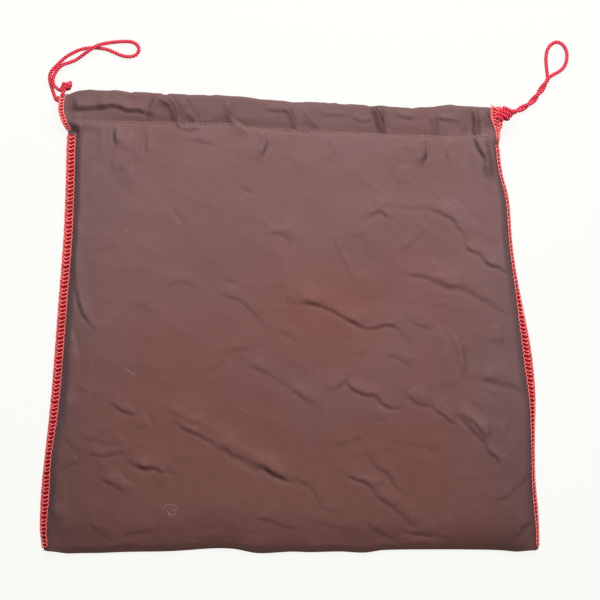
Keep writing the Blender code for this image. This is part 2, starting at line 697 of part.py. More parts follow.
def build():
    clear_scene()
    build_cloth()
    build_side_seam(-1, "left_seam_overlock")
    build_side_seam(1, "right_seam_overlock")
    for side, word in ((-1, "left"), (1, "right")):
        build_casing_edge(side, True, word + "_casing_edge_front")
        build_casing_edge(side, False, word + "_casing_edge_back")
        cord_run(side, word + "_drawstring_run")
    left_centre = from_corner(-1, [LEFT_KNOT_CENTRE])[0]
    right_centre = from_corner(1, [RIGHT_KNOT_CENTRE])[0]
    build_knot("left_knot", left_centre, LEFT_KNOT_SIZE, LEFT_KNOT_TURN)
    build_knot("right_knot", right_centre, RIGHT_KNOT_SIZE, RIGHT_KNOT_TURN)
    build_loop("left_loop", from_corner(-1, LEFT_LOOP_ROUTE))
    build_loop("right_loop", from_corner(1, RIGHT_LOOP_ROUTE))


build()
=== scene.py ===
"""Looks of a drawstring dust bag: thin brown cloth, red overlock, two twisted red cords.

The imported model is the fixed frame. The cloth, the seams, the cords and the knots are finer pieces
that stand for its solids, on the same outline and heights. Sizes here are in mm, and each piece is
put into metres when its mesh is made.
"""
import logging
import math
from dataclasses import dataclass, field
from enum import Enum

import bmesh
import bpy
import numpy as np
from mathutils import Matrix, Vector


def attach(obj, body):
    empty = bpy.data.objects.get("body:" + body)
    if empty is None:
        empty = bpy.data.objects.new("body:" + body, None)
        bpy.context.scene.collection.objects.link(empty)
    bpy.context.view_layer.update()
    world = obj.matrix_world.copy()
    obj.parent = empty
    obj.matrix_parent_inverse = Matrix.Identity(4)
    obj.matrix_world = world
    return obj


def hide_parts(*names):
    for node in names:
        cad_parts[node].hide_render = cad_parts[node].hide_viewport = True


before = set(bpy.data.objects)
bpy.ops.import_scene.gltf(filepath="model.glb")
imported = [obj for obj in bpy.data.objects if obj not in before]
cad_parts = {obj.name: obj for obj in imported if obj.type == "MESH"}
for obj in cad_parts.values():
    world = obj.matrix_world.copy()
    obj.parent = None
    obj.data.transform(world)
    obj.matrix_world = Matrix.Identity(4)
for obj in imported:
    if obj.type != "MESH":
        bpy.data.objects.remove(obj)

Array = np.ndarray
Material = bpy.types.Material
Triple = tuple[float, float, float]
Colour = tuple[float, float, float]
Pair = tuple[float, float]
Line = tuple[Pair, ...]
Waves = tuple[tuple[float, float, int], ...]
Faces = list[tuple[int, ...]]

MM = 0.001
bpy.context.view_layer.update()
UP = np.array([0, 0, 1.0])
LOG = logging.getLogger("dust_bag")


class Fold(Enum):
    """Kinds of crease: height, then half width on the steep and on the gentle side, in mm."""

    TRACE = (0.34, 1.8, 7.0)
    FAINT = (0.52, 1.6, 8.0)
    SOFT = (0.82, 1.5, 8.0)
    FULL = (1.25, 1.4, 9.5)
    CORNER = (2.0, 1.5, 5.0)
    TIGHT = (1.3, 1.3, 5.0)
    GATHER = (1.5, 1.05, 3.2)
    DEEP_GATHER = (2.3, 1.1, 3.6)
    CRIMP = (0.8, 1.2, 2.6)
    ROLL = (2.4, 1.4, 6.0)
    WIDE = (1.15, 2.3, 9.5)
    CRISP = (1.35, 1.2, 4.5)
    LINE = (1.05, 1.2, 6.5)


class Shade(Enum):
    """The way that the shaded, steeper side of a crease looks."""

    UP = (0.0, 1.0)
    DOWN = (0.0, -1.0)
    LEFT = (-1.0, 0.0)
    RIGHT = (1.0, 0.0)


class Slot(Enum):
    """The record's material slots."""

    CLOTH = "cloth"
    THREAD = "overlock_thread"
    CORD = "cord"


def smooth(t: Array) -> Array:
    """0 to 1 with level ends."""
    t = np.clip(t, 0.0, 1.0)
    return t * t * (3 - 2 * t)


def swell(t: Array) -> Array:
    """0 to 1, steep at first and level at the end."""
    return np.sin(np.clip(t, 0.0, 1.0) * math.pi / 2)


@dataclass(frozen=True)
class Stations:
    """A smooth curve through (place, value) stations."""

    points: Line

    def at(self, t: Array) -> Array:
        """Values on the curve.

        Args:
            t: The places.

        Returns:
            The value at each place.
        """
        places = np.array([place for place, _ in self.points])
        values = np.array([value for _, value in self.points])
        last = len(places) - 1
        t = np.clip(np.asarray(t, float), places[0], places[-1])
        k = np.clip(np.searchsorted(places, t, side="right") - 1, 0, last - 1)
        low = np.maximum(np.arange(last + 1) - 1, 0)
        high = np.minimum(np.arange(last + 1) + 1, last)
        slope = (values[high] - values[low]) / (places[high] - places[low])
        span = places[k + 1] - places[k]
        f = (t - places[k]) / span
        near = (1 + 2 * f) * (1 - f) ** 2 * values[k] + f * (1 - f) ** 2 * span * slope[k]
        far = f * f * (3 - 2 * f) * values[k + 1] - f * f * (1 - f) * span * slope[k + 1]
        return near + far


def run_along(path: Array) -> Array:
    """Distance from the start of a path to each of its points."""
    return np.concatenate([[0.0], np.cumsum(np.linalg.norm(np.diff(path, axis=0), axis=1))])


def word(side: int) -> str:
    """Left for side -1 and right for side 1, as in the nodes' names."""
    return "left" if side < 0 else "right"


def smooth_route(route: Array, step: float) -> Array:
    """Points every step along a smooth curve through a route's own points.

    Args:
        route: The route's points, one row each.
        step: The wished distance between points.

    Returns:
        The points on the curve.
    """
    route = np.asarray(route, float)
    places = run_along(route)
    count = max(2, round(places[-1] / step))
    at = np.linspace(0, places[-1], count + 1)
    columns = [Stations(tuple(zip(places, route[:, k]))).at(at) for k in range(route.shape[1])]
    return np.stack(columns, axis=1)


# Value noise: knots of its grid each way, the grid's turn, its further turn for each seed, and its shift
GRID = 64
GRID_TURN, SEED_TURN = 0.37, 0.61
GRID_SHIFT = (700.3, 500.7)


def value_noise(x: Array, y: Array, cell: float, seed: int) -> Array:
    """Smooth seeded noise from -1 to 1 on a turned grid.

    Args:
        x: Places across.
        y: Places up.
        cell: Size of the grid's cells.
        seed: Number that picks the pattern.

    Returns:
        The noise at each place.
    """
    lattice = np.random.default_rng(seed).uniform(-1, 1, (GRID, GRID))
    angle = GRID_TURN + seed * SEED_TURN
    u = (x * math.cos(angle) - y * math.sin(angle)) / cell + GRID_SHIFT[0]
    v = (x * math.sin(angle) + y * math.cos(angle)) / cell + GRID_SHIFT[1]
    i, j = np.floor(u).astype(int), np.floor(v).astype(int)
    f, g = smooth(u - i), smooth(v - j)
    i, j = i % (GRID - 1), j % (GRID - 1)
    low = lattice[i, j] * (1 - f) + lattice[i + 1, j] * f
    high = lattice[i, j + 1] * (1 - f) + lattice[i + 1, j + 1] * f
    return low * (1 - g) + high * g


@dataclass(frozen=True)
class Crease:
    """A soft ridge in the cloth, gentle on one side and steep on its shaded side, in mm."""

    fold: Fold
    shade: Shade
    points: Line
    step: float = 4.0
    waver: float = 0.5
    waver_cell: float = 7.0
    valley_place: float = 1.9
    valley_depth: float = 0.4
    end_height: float = 0.25
    end_fade: float = 0.2
    swing: float = 0.5
    swing_cell: float = 9.0

    def relief(self, x: Array, y: Array) -> Array:
        """Height that the crease adds.

        Args:
            x: Places across the bag.
            y: Places up the bag.

        Returns:
            The added height at each place.
        """
        height, steep, gentle = self.fold.value
        line = smooth_route(np.array(self.points), self.step)
        line = line + self.waver * np.stack([value_noise(line[:, 0], line[:, 1], self.waver_cell, seed)
                                             for seed in (5, 6)], axis=1)
        reach = 3.0 * gentle
        low, high = line.min(0) - reach, line.max(0) + reach
        near = (x > low[0]) & (x < high[0]) & (y > low[1]) & (y < high[1])
        added = np.zeros_like(x)
        if not near.any():
            return added
        px, py = x[near], y[near]
        best = np.full(px.shape, 1e9)
        signed = np.zeros(px.shape)
        place = np.zeros(px.shape)
        run_up = run_along(line)
        for k, (start, end) in enumerate(zip(line, line[1:])):
            run = end - start
            f = np.clip(((px - start[0]) * run[0] + (py - start[1]) * run[1]) / (run @ run), 0, 1)
            ax, ay = px - start[0] - f * run[0], py - start[1] - f * run[1]
            away = np.hypot(ax, ay)
            side = np.array([run[1], -run[0]])
            side = side if side @ np.array(self.shade.value) >= 0 else -side
            closer = away < best
            best = np.where(closer, away, best)
            signed = np.where(closer, away * np.sign(ax * side[0] + ay * side[1]), signed)
            place = np.where(closer, (run_up[k] + f * (run_up[k + 1] - run_up[k])) / run_up[-1], place)
        width = np.where(signed > 0, steep, gentle)
        valley = np.where(signed > 0, np.exp(-((best - self.valley_place * steep) / steep) ** 2), 0)
        fade = smooth(place / self.end_fade) * smooth((1 - place) / self.end_fade)
        wave = 1 + self.swing * value_noise(px, py, self.swing_cell, 8)
        bump = np.exp(-(best / width) ** 2) - self.valley_depth * valley
        added[near] = height * wave * (self.end_height + (1 - self.end_height) * fade) * bump
        return added


# Creases that show on the front, by kind and shaded side: x and y in turn along each, in mm
CREASE_LINES = {
    (Fold.CORNER, Shade.RIGHT): ((143.6, 139, 147.4, 129.2, 149.6, 118, 151.1, 104.5),),
    (Fold.CRIMP, Shade.DOWN): (
        (-83.6, 146.5, -74.6, 145, -65.6, 146.5), (-69.4, 149.5, -55.9, 148.7),
        (-17.6, 159.2, -8.6, 158.5, 1.1, 156.2), (21.4, 157.7, 30.4, 154.7, 40.9, 154),
        (46.9, 152.5, 54.4, 151, 61.9, 151.7), (79.9, 155.5, 86.6, 154, 93.4, 154),
        (135.4, 133, 136.9, 118, 138.4, 108.2),
    ),
    (Fold.CRIMP, Shade.LEFT): (
        (-107.6, 145.7, -105.4, 136.7, -106.1, 127.7), (118.9, 137.5, 117.4, 127.7, 119.6, 117.2),
    ),
    (Fold.CRIMP, Shade.RIGHT): (
        (-139.1, 147.2, -138.4, 139, -139.9, 129.2), (30.4, 139.7, 32.6, 130.7, 31.1, 121.7),
    ),
    (Fold.CRISP, Shade.LEFT): ((-158.6, 29.5, -156.4, 14.5, -151.9, 4, -145.1, -4.3),),
    (Fold.CRISP, Shade.RIGHT): ((122.6, -9.5, 126.4, -16.3, 130.1, -25.3, 133.9, -36.5),),
    (Fold.DEEP_GATHER, Shade.DOWN): (
        (-139.1, 162.2, -128.6, 161.5, -119.6, 158.9, -112.1, 159.2, -105.4, 156.6),
        (138.4, 138.2, 141.4, 130, 146.6, 122.5),
    ),
    (Fold.DEEP_GATHER, Shade.LEFT): ((138.4, 160.7, 137.6, 148.7, 138.4, 138.2),),
    (Fold.DEEP_GATHER, Shade.RIGHT): (
        (-91.1, 169, -86.6, 160, -82.9, 150.2, -81.4, 144.2), (-79.9, 166, -74.6, 157, -69.4, 149.2),
        (62.6, 161.5, 67.9, 151.7, 73.1, 139.7),
    ),
    (Fold.FAINT, Shade.DOWN): (
        (-70.9, 138.2, -61.9, 135.2, -55.1, 132.2), (-34.9, 104, -26.2, 98.9), (102.4, 128.5, 95.4, 121.2),
        (105.4, 101.1, 111.1, 92.5), (-16.3, 66.6, -9.1, 68, -2.6, 66.2, 1.1, 59.5),
        (-50.6, 22, -37.1, 18.2, -26.6, 9.2, -16.1, -2), (-3.4, 16.7, 7.9, 17.5, 21.4, 14.5),
        (141.4, 22, 151.9, 14.5, 162.8, 7.1), (89.6, 5.6, 99.7, -1.6, 106.9, -2.2),
        (72.4, -23, 83.9, -26.6, 90.4, -33.1), (-29.6, -30.5, -20.6, -34.3, -9.4, -40.3, 1.9, -47.8),
        (3.4, -47, 15.4, -56.8, 22.9, -62), (132.4, -56.8, 141.4, -59.8, 149.6, -67.3),
        (-154.1, -86.8, -143.6, -85.3, -133.1, -88.3, -124.1, -86.8),
        (-170.6, -110.8, -164.6, -104.8, -157.1, -101.8), (-158.6, -45.5, -149.6, -52.3, -152.6, -65.8),
        (-91.1, -64.3, -77.6, -70.3, -64.1, -76.3), (-166.9, -86.8, -163.1, -89, -159.4, -95),
        (-145.4, -99.9, -139.6, -108.5), (-147.4, -148.3, -140.6, -157.3, -131.6, -162.5),
        (-125.6, -157.3, -112.1, -154.3, -96.4, -152.8), (-25.1, -143.8, -10.9, -148.3, 7.9, -152.8),
    ),
    (Fold.FAINT, Shade.LEFT): (
        (82.5, 117.2, 82.1, 103.7), (34.9, 69.2, 37.9, 52.7, 46.9, 35.5, 52.9, 26.5),
        (163.1, -97.3, 157.9, -104.8, 155.6, -115.3),
    ),
    (Fold.FAINT, Shade.RIGHT): (
        (108.4, 0.2, 112.9, -7.3, 118.1, -17, 121.9, -29.8, 123.4, -40.3), (69.4, -61.3, 70.9, -73.3),
        (118.9, -145.3, 120.4, -152.8, 121.9, -163.3), (-168.4, -118.3, -166.9, -133.3, -167.6, -148.3),
    ),
    (Fold.FULL, Shade.DOWN): (
        (4.9, 18.2, 16.9, 15.2, 29.6, 10, 41.6, 4, 50.6, -0.5, 61.9, -3.1, 72.4, 0.6, 79.9, -2, 85.1, -7.3),
        (88.1, -52.3, 94.9, -59, 103.9, -61.3),
    ),
    (Fold.GATHER, Shade.DOWN): ((111.4, 152.5, 117.4, 150.6, 124.9, 150.2),),
    (Fold.GATHER, Shade.LEFT): (
        (-99.4, 168.2, -102.4, 160.7, -104.6, 154), (-127.9, 145.7, -128.6, 133),
    ),
    (Fold.GATHER, Shade.RIGHT): (
        (-154.9, 157.7, -157.9, 151.7, -158.6, 145.7, -162.4, 141.2),
        (-98.6, 169.7, -93.4, 166, -88.9, 162.2), (-46.1, 164.5, -45.4, 157.7, -43.1, 151.7, -37.1, 146.5,
         -30.4, 141.2), (-1.1, 162.2, 1.9, 154.7, 5.6, 144.2), (12.9, 157.7, 16.9, 151.7, 21.4, 145.7),
        (105.4, 156.2, 108.4, 148.7, 110.6, 139.7), (125.6, 158.5, 128.6, 151, 131.6, 142),
        (144.1, 157.7, 148.1, 153.2, 151.9, 148.7), (-20.6, 143.5, -18.4, 135.2, -19.9, 124.7),
        (97.9, 137.5, 100.9, 127.7, 98.6, 118.7),
    ),
    (Fold.LINE, Shade.DOWN): (
        (130.9, 61.7, 133.9, 56.5, 141.4, 51.2, 148.1, 45.2, 157.9, 41.5, 166.9, 35.5),
        (42.3, -41.8, 46.1, -48.5, 54.4, -53, 64.9, -55.3, 69.4, -60.5, 77.6, -62.8, 84.4, -61.3),
        (107.6, -61.3, 113.6, -67.3, 124.1, -74), (127.1, -68, 133.9, -75.5, 139.9, -82.3, 147.4, -91.3,
         151.9, -98.8, 157.9, -107.8), (43.1, -112.3, 51.4, -115.3, 64.9, -125),
        (-134.6, -58.3, -128.6, -62.8, -121.1, -67.3, -113.6, -67.3),
        (-110.6, -105.5, -100.1, -107.8, -89.6, -110.8), (-20.6, -108.5, -10.9, -112.3, -0.4, -116.8),
    ),
    (Fold.LINE, Shade.RIGHT): (
        (150.8, 136.7, 154.3, 115.7, 158.6, 95.5, 160.7, 65.5, 163.4, 39.2, 166.1, 16.7),
    ),
    (Fold.ROLL, Shade.DOWN): ((-163.1, 158.9, -154.1, 160.7, -144.4, 161.1, -134.6, 161.9),),
    (Fold.SOFT, Shade.DOWN): (
        (-164.6, 143.5, -160.9, 140.5, -155.6, 143.5), (57.4, 80.5, 66.4, 85, 76.1, 79),
        (105.4, 85.7, 117.4, 82, 124.9, 76, 130.1, 69.2, 132.4, 63.2), (88.1, 37, 99.4, 36.2, 108.4, 34),
        (30.4, -50.8, 37.1, -46.3, 42.4, -41.8), (180.4, -107.8, 169.9, -121.3, 161.6, -128.8, 154.1, -131),
        (58.9, -98, 65.6, -106.3, 75.4, -115.3, 85.1, -127.3),
        (63.4, -124.3, 76.1, -134.8, 89.6, -146, 99.4, -154.3),
        (7.9, -116, 16.1, -120.5, 21.4, -128.8, 24.4, -136.3), (61.9, -151.3, 69.4, -155.8, 78.4, -161),
        (85.1, -154.3, 97.9, -156.5, 109.9, -158.8), (180.4, -148.3, 173.6, -154.3, 168.4, -160.3),
        (-151.1, -95.8, -139.1, -98, -128.6, -96.5), (-85.1, -73.3, -73.9, -79.3, -63.4, -83.8, -52.1, -89.8),
        (-139.9, -115.3, -130.9, -119.8, -122.6, -125), (-178.4, -135.5, -175.1, -146.8, -172.1, -158.8),
        (-138.4, -167.8, -127.1, -167, -118.1, -165.5, -104.6, -169.3),
        (-97.1, -168.5, -82.1, -167.8, -67.1, -167), (-44.6, -167.8, -29.6, -168.5, -14.6, -167.8),
        (7.9, -168.5, 30.4, -167.8, 41.6, -167), (79.1, -167.8, 97.9, -166.3, 112.9, -167),
    ),
    (Fold.SOFT, Shade.LEFT): ((-127.1, 129.2, -130.1, 121.7, -130.9, 112.7),),
    (Fold.SOFT, Shade.RIGHT): (
        (-118.9, 145.7, -119.6, 129.2, -120.4, 118, -118.9, 109.7),
        (-114.4, 145.7, -112.9, 129.2, -115.1, 112.7, -118.1, 96.2),
        (-139.9, 115.7, -145.9, 105.2, -153.4, 94, -156.4, 82.7),
        (147.4, -66.5, 148.9, -80.8, 153.4, -92.8, 158.6, -106.3),
        (160.1, -70.3, 163.9, -83.8, 169.9, -97.3, 170.6, -109.3), (157.1, -1.3, 157.9, -15.9),
        (-128.6, -110.8, -125.6, -118.3, -118.1, -122.8), (-163.1, -5, -161.6, -17, -160.1, -37.3),
        (-107.6, -67.3, -104.6, -77.8), (-94.9, -107.8, -90.4, -116),
    ),
    (Fold.TIGHT, Shade.LEFT): (
        (-160.6, 142.7, -159.2, 129.2, -158.9, 116.5, -159.7, 99.2, -161.6, 73, -161.8, 50.5, -159.4, 28,
         -157.6, 16.7), (-164.6, -17, -165.4, -43.3, -167.6, -73.3),
    ),
    (Fold.TRACE, Shade.DOWN): (
        (-39.4, 126.2, -29.6, 124, -20.6, 124.7), (64.1, 90.2, 75.4, 88.7, 88.1, 87.2, 101.6, 87.2, 109.9,
         85.7), (-1.1, 66.2, 6.4, 75.2), (-113.9, 12.8, -106.6, 13.5, -99.4, 7),
        (-101.6, 14.5, -94.9, 23.5, -85.1, 31, -76.1, 31.7, -67.1, 26.5), (-10.1, -5.8, -3.4, -8, 7.9, -11),
        (-48.4, 34.7, -37.1, 32.5), (48.1, 64.5, 55.1, 70.2), (84.4, 54.2, 97.9, 65.5, 105.4, 73),
        (109.7, 11.5, 115.5, 13.5), (49.9, -26.8, 61.9, -13.3), (-65, -37.4, -55, -31.6, -44.9, -26.6),
        (-46.1, -25.3, -41.6, -19.3, -29.6, -17.8), (1.9, -46.3, 12.4, -56.8, 21.4, -62),
        (148.9, -50, 159.4, -53), (84.4, -163.3, 91.9, -157.3, 100.9, -155.8), (24.4, -138.5, 39.4, -140),
        (34.1, -90.5, 45.4, -86.8, 54.4, -83.8), (86.6, -88.3, 101.6, -90.5, 112.9, -95.8),
        (-128.6, -96.5, -119.6, -94.3, -110.6, -88.3), (-67.1, -124.3, -63.4, -131),
        (7.9, -145.3, 30.4, -149.8, 45.4, -155.8),
    ),
    (Fold.TRACE, Shade.RIGHT): (
        (-88.1, 147.2, -82.1, 136.7, -74.6, 129.2), (-130.1, 67, -135.4, 55.7, -139.1, 44.5),
        (-94.9, 88, -88.1, 78.2, -82.1, 69.2), (53.1, 57.2, 55.1, 49, 57.4, 41.5),
        (151.1, -124.3, 151.9, -139.3), (168.4, -127.3, 167.6, -142.3), (-148.1, -17, -148.9, -37.3),
        (-50.6, -154.3, -47.6, -167),
    ),
    (Fold.WIDE, Shade.DOWN): (
        (105.4, 34.7, 117.4, 29.5, 126.4, 28.7, 135.4, 24.2, 144.4, 19),
        (124.9, -65, 133.9, -69.5, 142.9, -76.3, 148.1, -86.8),
        (142.9, -39.5, 154.1, -41.8, 165.4, -45.5, 175.9, -51.5),
        (-121.1, -100.3, -111.4, -104.8, -100.9, -107), (-56.6, -88.3, -40.9, -95.8, -30.4, -101.8, -20.6,
         -107, -10.9, -110.8, -0.4, -114.5),
    ),
}
CREASES = tuple(Crease(fold, shade, tuple(zip(line[::2], line[1::2])))
                for (fold, shade), lines in CREASE_LINES.items() for line in lines)


@dataclass
class BagShape:
    """The bag as it lies, in mm: sizes of the cloth's solid, then of its waves, gathers and ridges."""

    bottom_width: float = 375.4
    panel_height: float = 322.0
    depth: float = 22.0
    bottom_level: float = -171.9
    cloth: float = 0.4
    mouth_gap: float = 5.0
    body_height: float = 11.4
    side_roll: float = 34.0
    near_roll: float = 6.5
    bottom_roll: float = 4.55
    casing_roll: float = 60.0
    back_roll: float = 16.0
    bottom_fold_radius: float = 1.3
    layer_gap: float = 0.1
    cord: float = 3.0
    clearance: float = 0.3
    seam_width: float = 6.2
    edge_width: float = 3.4
    thread: float = 0.5
    loop_height: float = 0.25
    seam_end: float = 8.0
    seam_top_lift: float = 3.2
    seam_settle: float = 50.0
    pinch_share: float = 0.72
    end_flare: float = 1.7
    wall_shorter: float = 10.5
    wall_end_reach: float = 1.8
    hem_turn: float = 3.0
    left_casing_inset: float = 16.6
    right_casing_inset: float = 30.4
    left_inset: Stations = Stations((
        (0, 1.6), (0.03, 0.2), (0.06, -0.3), (0.17, 1.7), (0.35, 8.1), (0.59, 14.2), (0.73, 17.7),
        (0.82, 19.0), (0.94, 20.5), (1, 21.5)))
    right_inset: Stations = Stations((
        (0, -0.7), (0.03, -0.8), (0.095, 0.2), (0.17, 2.2), (0.27, 2.6), (0.365, 2.4), (0.44, 4.3),
        (0.51, 7.3), (0.61, 13.1), (0.68, 17.0), (0.75, 19.8), (0.85, 22.3), (0.92, 27.8), (1, 30.6)))
    left_tilt: Stations = Stations((
        (0, 44), (0.06, 30), (0.13, 14), (0.22, 32), (0.33, 12), (0.6, 6), (1, 8)))
    right_tilt: Stations = Stations((
        (0, 58), (0.06, 60), (0.1, 54), (0.2, 60), (0.32, 48), (0.44, 15), (0.5, 17), (0.63, 54),
        (0.75, 62), (1, 58)))
    bottom_rise: Stations = Stations((
        (0, 0.4), (0.09, -0.5), (0.16, 0.3), (0.25, 0.9), (0.34, 3.0), (0.38, 2.6), (0.43, -0.6),
        (0.5, 0.5), (0.54, 0.1), (0.6, 0.6), (0.65, -0.2), (0.69, 1.7), (0.79, 2.2), (0.9, 2.0), (1, 1.2)))
    stitch_drop: Stations = Stations((
        (0, 0), (0.2, 1.3), (0.32, 1.6), (0.39, 2.8), (0.45, 5.6), (0.51, 7.0), (0.6, 8.4), (0.7, 9.3),
        (0.8, 10.9), (0.92, 11.9), (1, 10.9)))
    depth_change: Stations = Stations((
        (0, -1.6), (0.02, 0.9), (0.05, 1.6), (0.2, 0.4), (0.32, -1.0), (0.45, -0.2), (0.68, -0.4),
        (0.8, -1.1), (0.92, 1.2), (1, -0.8)))
    left_bow: Line = (
        (-8, 0), (-6, 1.4), (-3, 2.1), (0, 1.6), (3, 0.5), (5.4, -0.3), (9, -0.8), (13, -0.6), (18, 0.1),
        (21, 1.6))
    top_notches: tuple[Triple, ...] = (
        (-93.5, 1.9, 2.2), (-119.6, 1.0, 3.0), (62.0, 1.0, 4.0), (94.0, 0.8, 3.5), (121.0, -0.9, 4.0))
    creases: tuple[Crease, ...] = CREASES
    top_waver: Waves = ((0.4, 9.0, 3), (0.25, 3.6, 4))
    long_waves: tuple[tuple[float, float, float, float], ...] = ((0.45, 31, 47, 0.0), (0.35, 19, -37, 1.3))
    rumples: Waves = ((46.0, 0.5, 11), (27.0, 0.28, 12), (15.0, 0.16, 13), (8.0, 0.06, 14))
    ridges: Waves = ((34.0, 0.24, 21), (17.0, 0.16, 23), (8.5, 0.05, 25))
    ridge_way: Pair = (0.862, 0.507)
    ridge_stretch: float = 0.5
    ridge_breaks: Pair = (0.3, 0.4)
    ridge_edge: float = 2.6
    ridge_power: float = 1.5
    drift: Line = ((1.2, 11.0), (0.5, 5.0))
    pucker_depth: float = 0.45
    pucker_reach: float = 1.4
    gather_depth: float = 0.16
    gather_cell: float = 2.9
    gather_reach: float = 3.5
    side_crisp: float = 0.5
    bottom_crisp: float = 0.24
    flat_margin: Pair = (0.32, 0.35)
    crease_margin: Pair = (4.5, 5.0)
    top_calm: float = 0.25
    top_calm_span: Pair = (0.95, 0.045)
    back_fold: Pair = (0.75, 3.2)
    back_cells: Triple = (52.0, 19.0, 17.0)
    back_waver: float = 0.12
    back_margin: float = 20.0
    back_ends: float = 14.0
    back_gather: Pair = (0.6, 6.0)
    lean_reach: float = 14.0
    bow_reach: float = 25.0
    casing_margin: float = 9.0
    casing_relief: float = 0.75
    casing_relief_rise: float = 6.0
    deepest_crease: float = -0.8

    def __post_init__(self) -> None:
        """Work out the sizes that follow from the others."""
        channel = self.cord + 2 * self.clearance
        self.wall_to_wall = channel + self.cloth
        self.casing_thickness = channel + 2 * self.cloth
        self.fold_radius = self.wall_to_wall / 2
        self.pinch = self.cloth + self.clearance
        self.pinch_level = self.pinch_share * self.casing_thickness
        self.layer_offset = (self.cloth + self.layer_gap) / 2
        self.seam_slot = self.cloth + self.layer_gap / 2 + self.clearance
        self.edge_rest = self.cloth / 2 + self.clearance + self.thread + self.loop_height
        self.half_width = self.bottom_width / 2
        self.casing_turn = self.depth / 3

    def bottom_y(self, a: Array) -> Array:
        """Start of the bottom fold at shares of the width."""
        return self.bottom_level + self.bottom_rise.at(a)

    def stitch_y(self, a: Array) -> Array:
        """The casing's stitch line at shares of the width."""
        return self.bottom_level + self.panel_height - self.stitch_drop.at(a)

    def panel_y(self, a: Array, share: Array) -> Array:
        """Place up the bag from shares of the width and of the panel's height."""
        a = np.clip(a, 0, 1)
        return self.bottom_y(a) + (self.stitch_y(a) - self.bottom_y(a)) * share

    def casing_end_x(self, side: int) -> float:
        """Where the casings end at a side."""
        return side * (self.half_width - (self.left_casing_inset if side < 0 else self.right_casing_inset))

    def to_casing_end(self, x: Array) -> Array:
        """Distance from places across to the nearer end of the casings."""
        return np.minimum(x - self.casing_end_x(-1), self.casing_end_x(1) - x)

    def casing_end_z(self, front: bool) -> float:
        """Height of the outer wall's edge where the casing ends.

        Args:
            front: Whether it is the front casing.

        Returns:
            The height over the floor.
        """
        if front:
            inner = self.casing_thickness + self.clearance + self.cloth / 2
            return inner + self.wall_to_wall + self.end_flare
        return self.edge_rest

    def casing_depth(self, a: Array, x: Array) -> Array:
        """Depth of the casing with the small notches of its gathered top.

        Args:
            a: Shares of the width.
            x: Places across, for the notches.

        Returns:
            The depth at each of them.
        """
        depth = self.depth + self.depth_change.at(np.clip(a, 0, 1))
        for place, dip, width in self.top_notches:
            depth = depth - dip * np.exp(-((x - place) / width) ** 2)
        for height, cell, seed in self.top_waver:
            depth = depth + height * value_noise(x, x * 0, cell, seed)
        return depth

    def seam_frame(self, side: int, share: Array) -> tuple[Array, Array, Array]:
        """A side seam's middle, width direction and normal.

        Args:
            side: -1 for the left, 1 for the right.
            share: Shares of the panel's height.

        Returns:
            Three arrays with one row for each share.
        """
        share = np.atleast_1d(np.asarray(share, float))
        inset, tilt = (self.left_inset, self.left_tilt) if side < 0 else (self.right_inset, self.right_tilt)
        angle = np.radians(tilt.at(share))
        zero = np.zeros_like(share)
        across = np.stack([side * np.cos(angle), zero, -np.sin(angle)], axis=1)
        normal = np.stack([side * np.sin(angle), zero, np.cos(angle)], axis=1)
        below_end = (1 - share) * self.panel_height - self.seam_end
        rise = self.seam_top_lift * (1 - smooth(below_end / self.seam_settle))
        half, thick = self.seam_width / 2, self.seam_slot + self.thread
        reach = half * np.cos(angle) + thick * np.sin(angle)
        x = side * (self.half_width - inset.at(share) - reach)
        y = self.panel_y(np.full_like(share, 0.0 if side < 0 else 1.0), share)
        z = (thick + self.loop_height) * np.cos(angle) + half * np.sin(angle) + rise
        return np.stack([x, y, z], axis=1), across, normal

    def side_edge(self, side: int, share: Array, front: bool) -> tuple[Array, ...]:
        """The cloth's cut edge at a side, the point just inside its overlock, and the seam's normal.

        Args:
            side: -1 for the left, 1 for the right.
            share: Shares of the panel's height.
            front: Whether it is the front layer.

        Returns:
            Three arrays with one row for each share.
        """
        share = np.atleast_1d(np.asarray(share, float))
        layer = self.layer_offset if front else -self.layer_offset
        end_share = 1 - self.seam_end / self.panel_height
        middle, across, normal = self.seam_frame(side, np.minimum(share, end_share))
        cut = middle + across * (self.seam_width / 2 - self.thread - self.clearance) + normal * layer
        inside = middle - across * (self.seam_width / 2 + self.clearance) + normal * layer
        t = smooth((share - end_share) / (1 - end_share))[:, None]
        x, z = self.casing_end_x(side), self.casing_end_z(front)
        x = x + self.bow(side, (share - 1) * self.panel_height)
        rest = np.zeros_like(x)
        end_cut = np.stack([x, rest, rest + z], axis=1)
        end_inside = np.stack([x - side * (self.edge_width + self.clearance), rest, rest + z], axis=1)
        beyond = share > end_share
        y = self.panel_y(np.full_like(share, 0.0 if side < 0 else 1.0), share)
        cut = cut + (end_cut - cut) * t
        inside = inside + (end_inside - inside) * t
        cut[beyond, 1] = y[beyond]
        inside[beyond, 1] = y[beyond]
        up = normal + (UP - normal) * t
        return cut, inside, up / np.linalg.norm(up, axis=1)[:, None]

    def bow(self, side: int, heights: Array) -> Array:
        """How far the left casing's end bows inward at heights above the stitch line."""
        return np.interp(heights, *zip(*self.left_bow)) if side < 0 else np.zeros_like(heights)

    def casing_level(self, x: Array, front: bool) -> Array:
        """Underside of the front casing, or the floor for the back one.

        Args:
            x: Places across.
            front: Whether it is the front casing.

        Returns:
            The level at each place.
        """
        if not front:
            return np.zeros_like(x)
        rise = swell(self.to_casing_end(x) / self.casing_roll)
        return self.casing_thickness + self.clearance + (self.mouth_gap - self.clearance) * rise

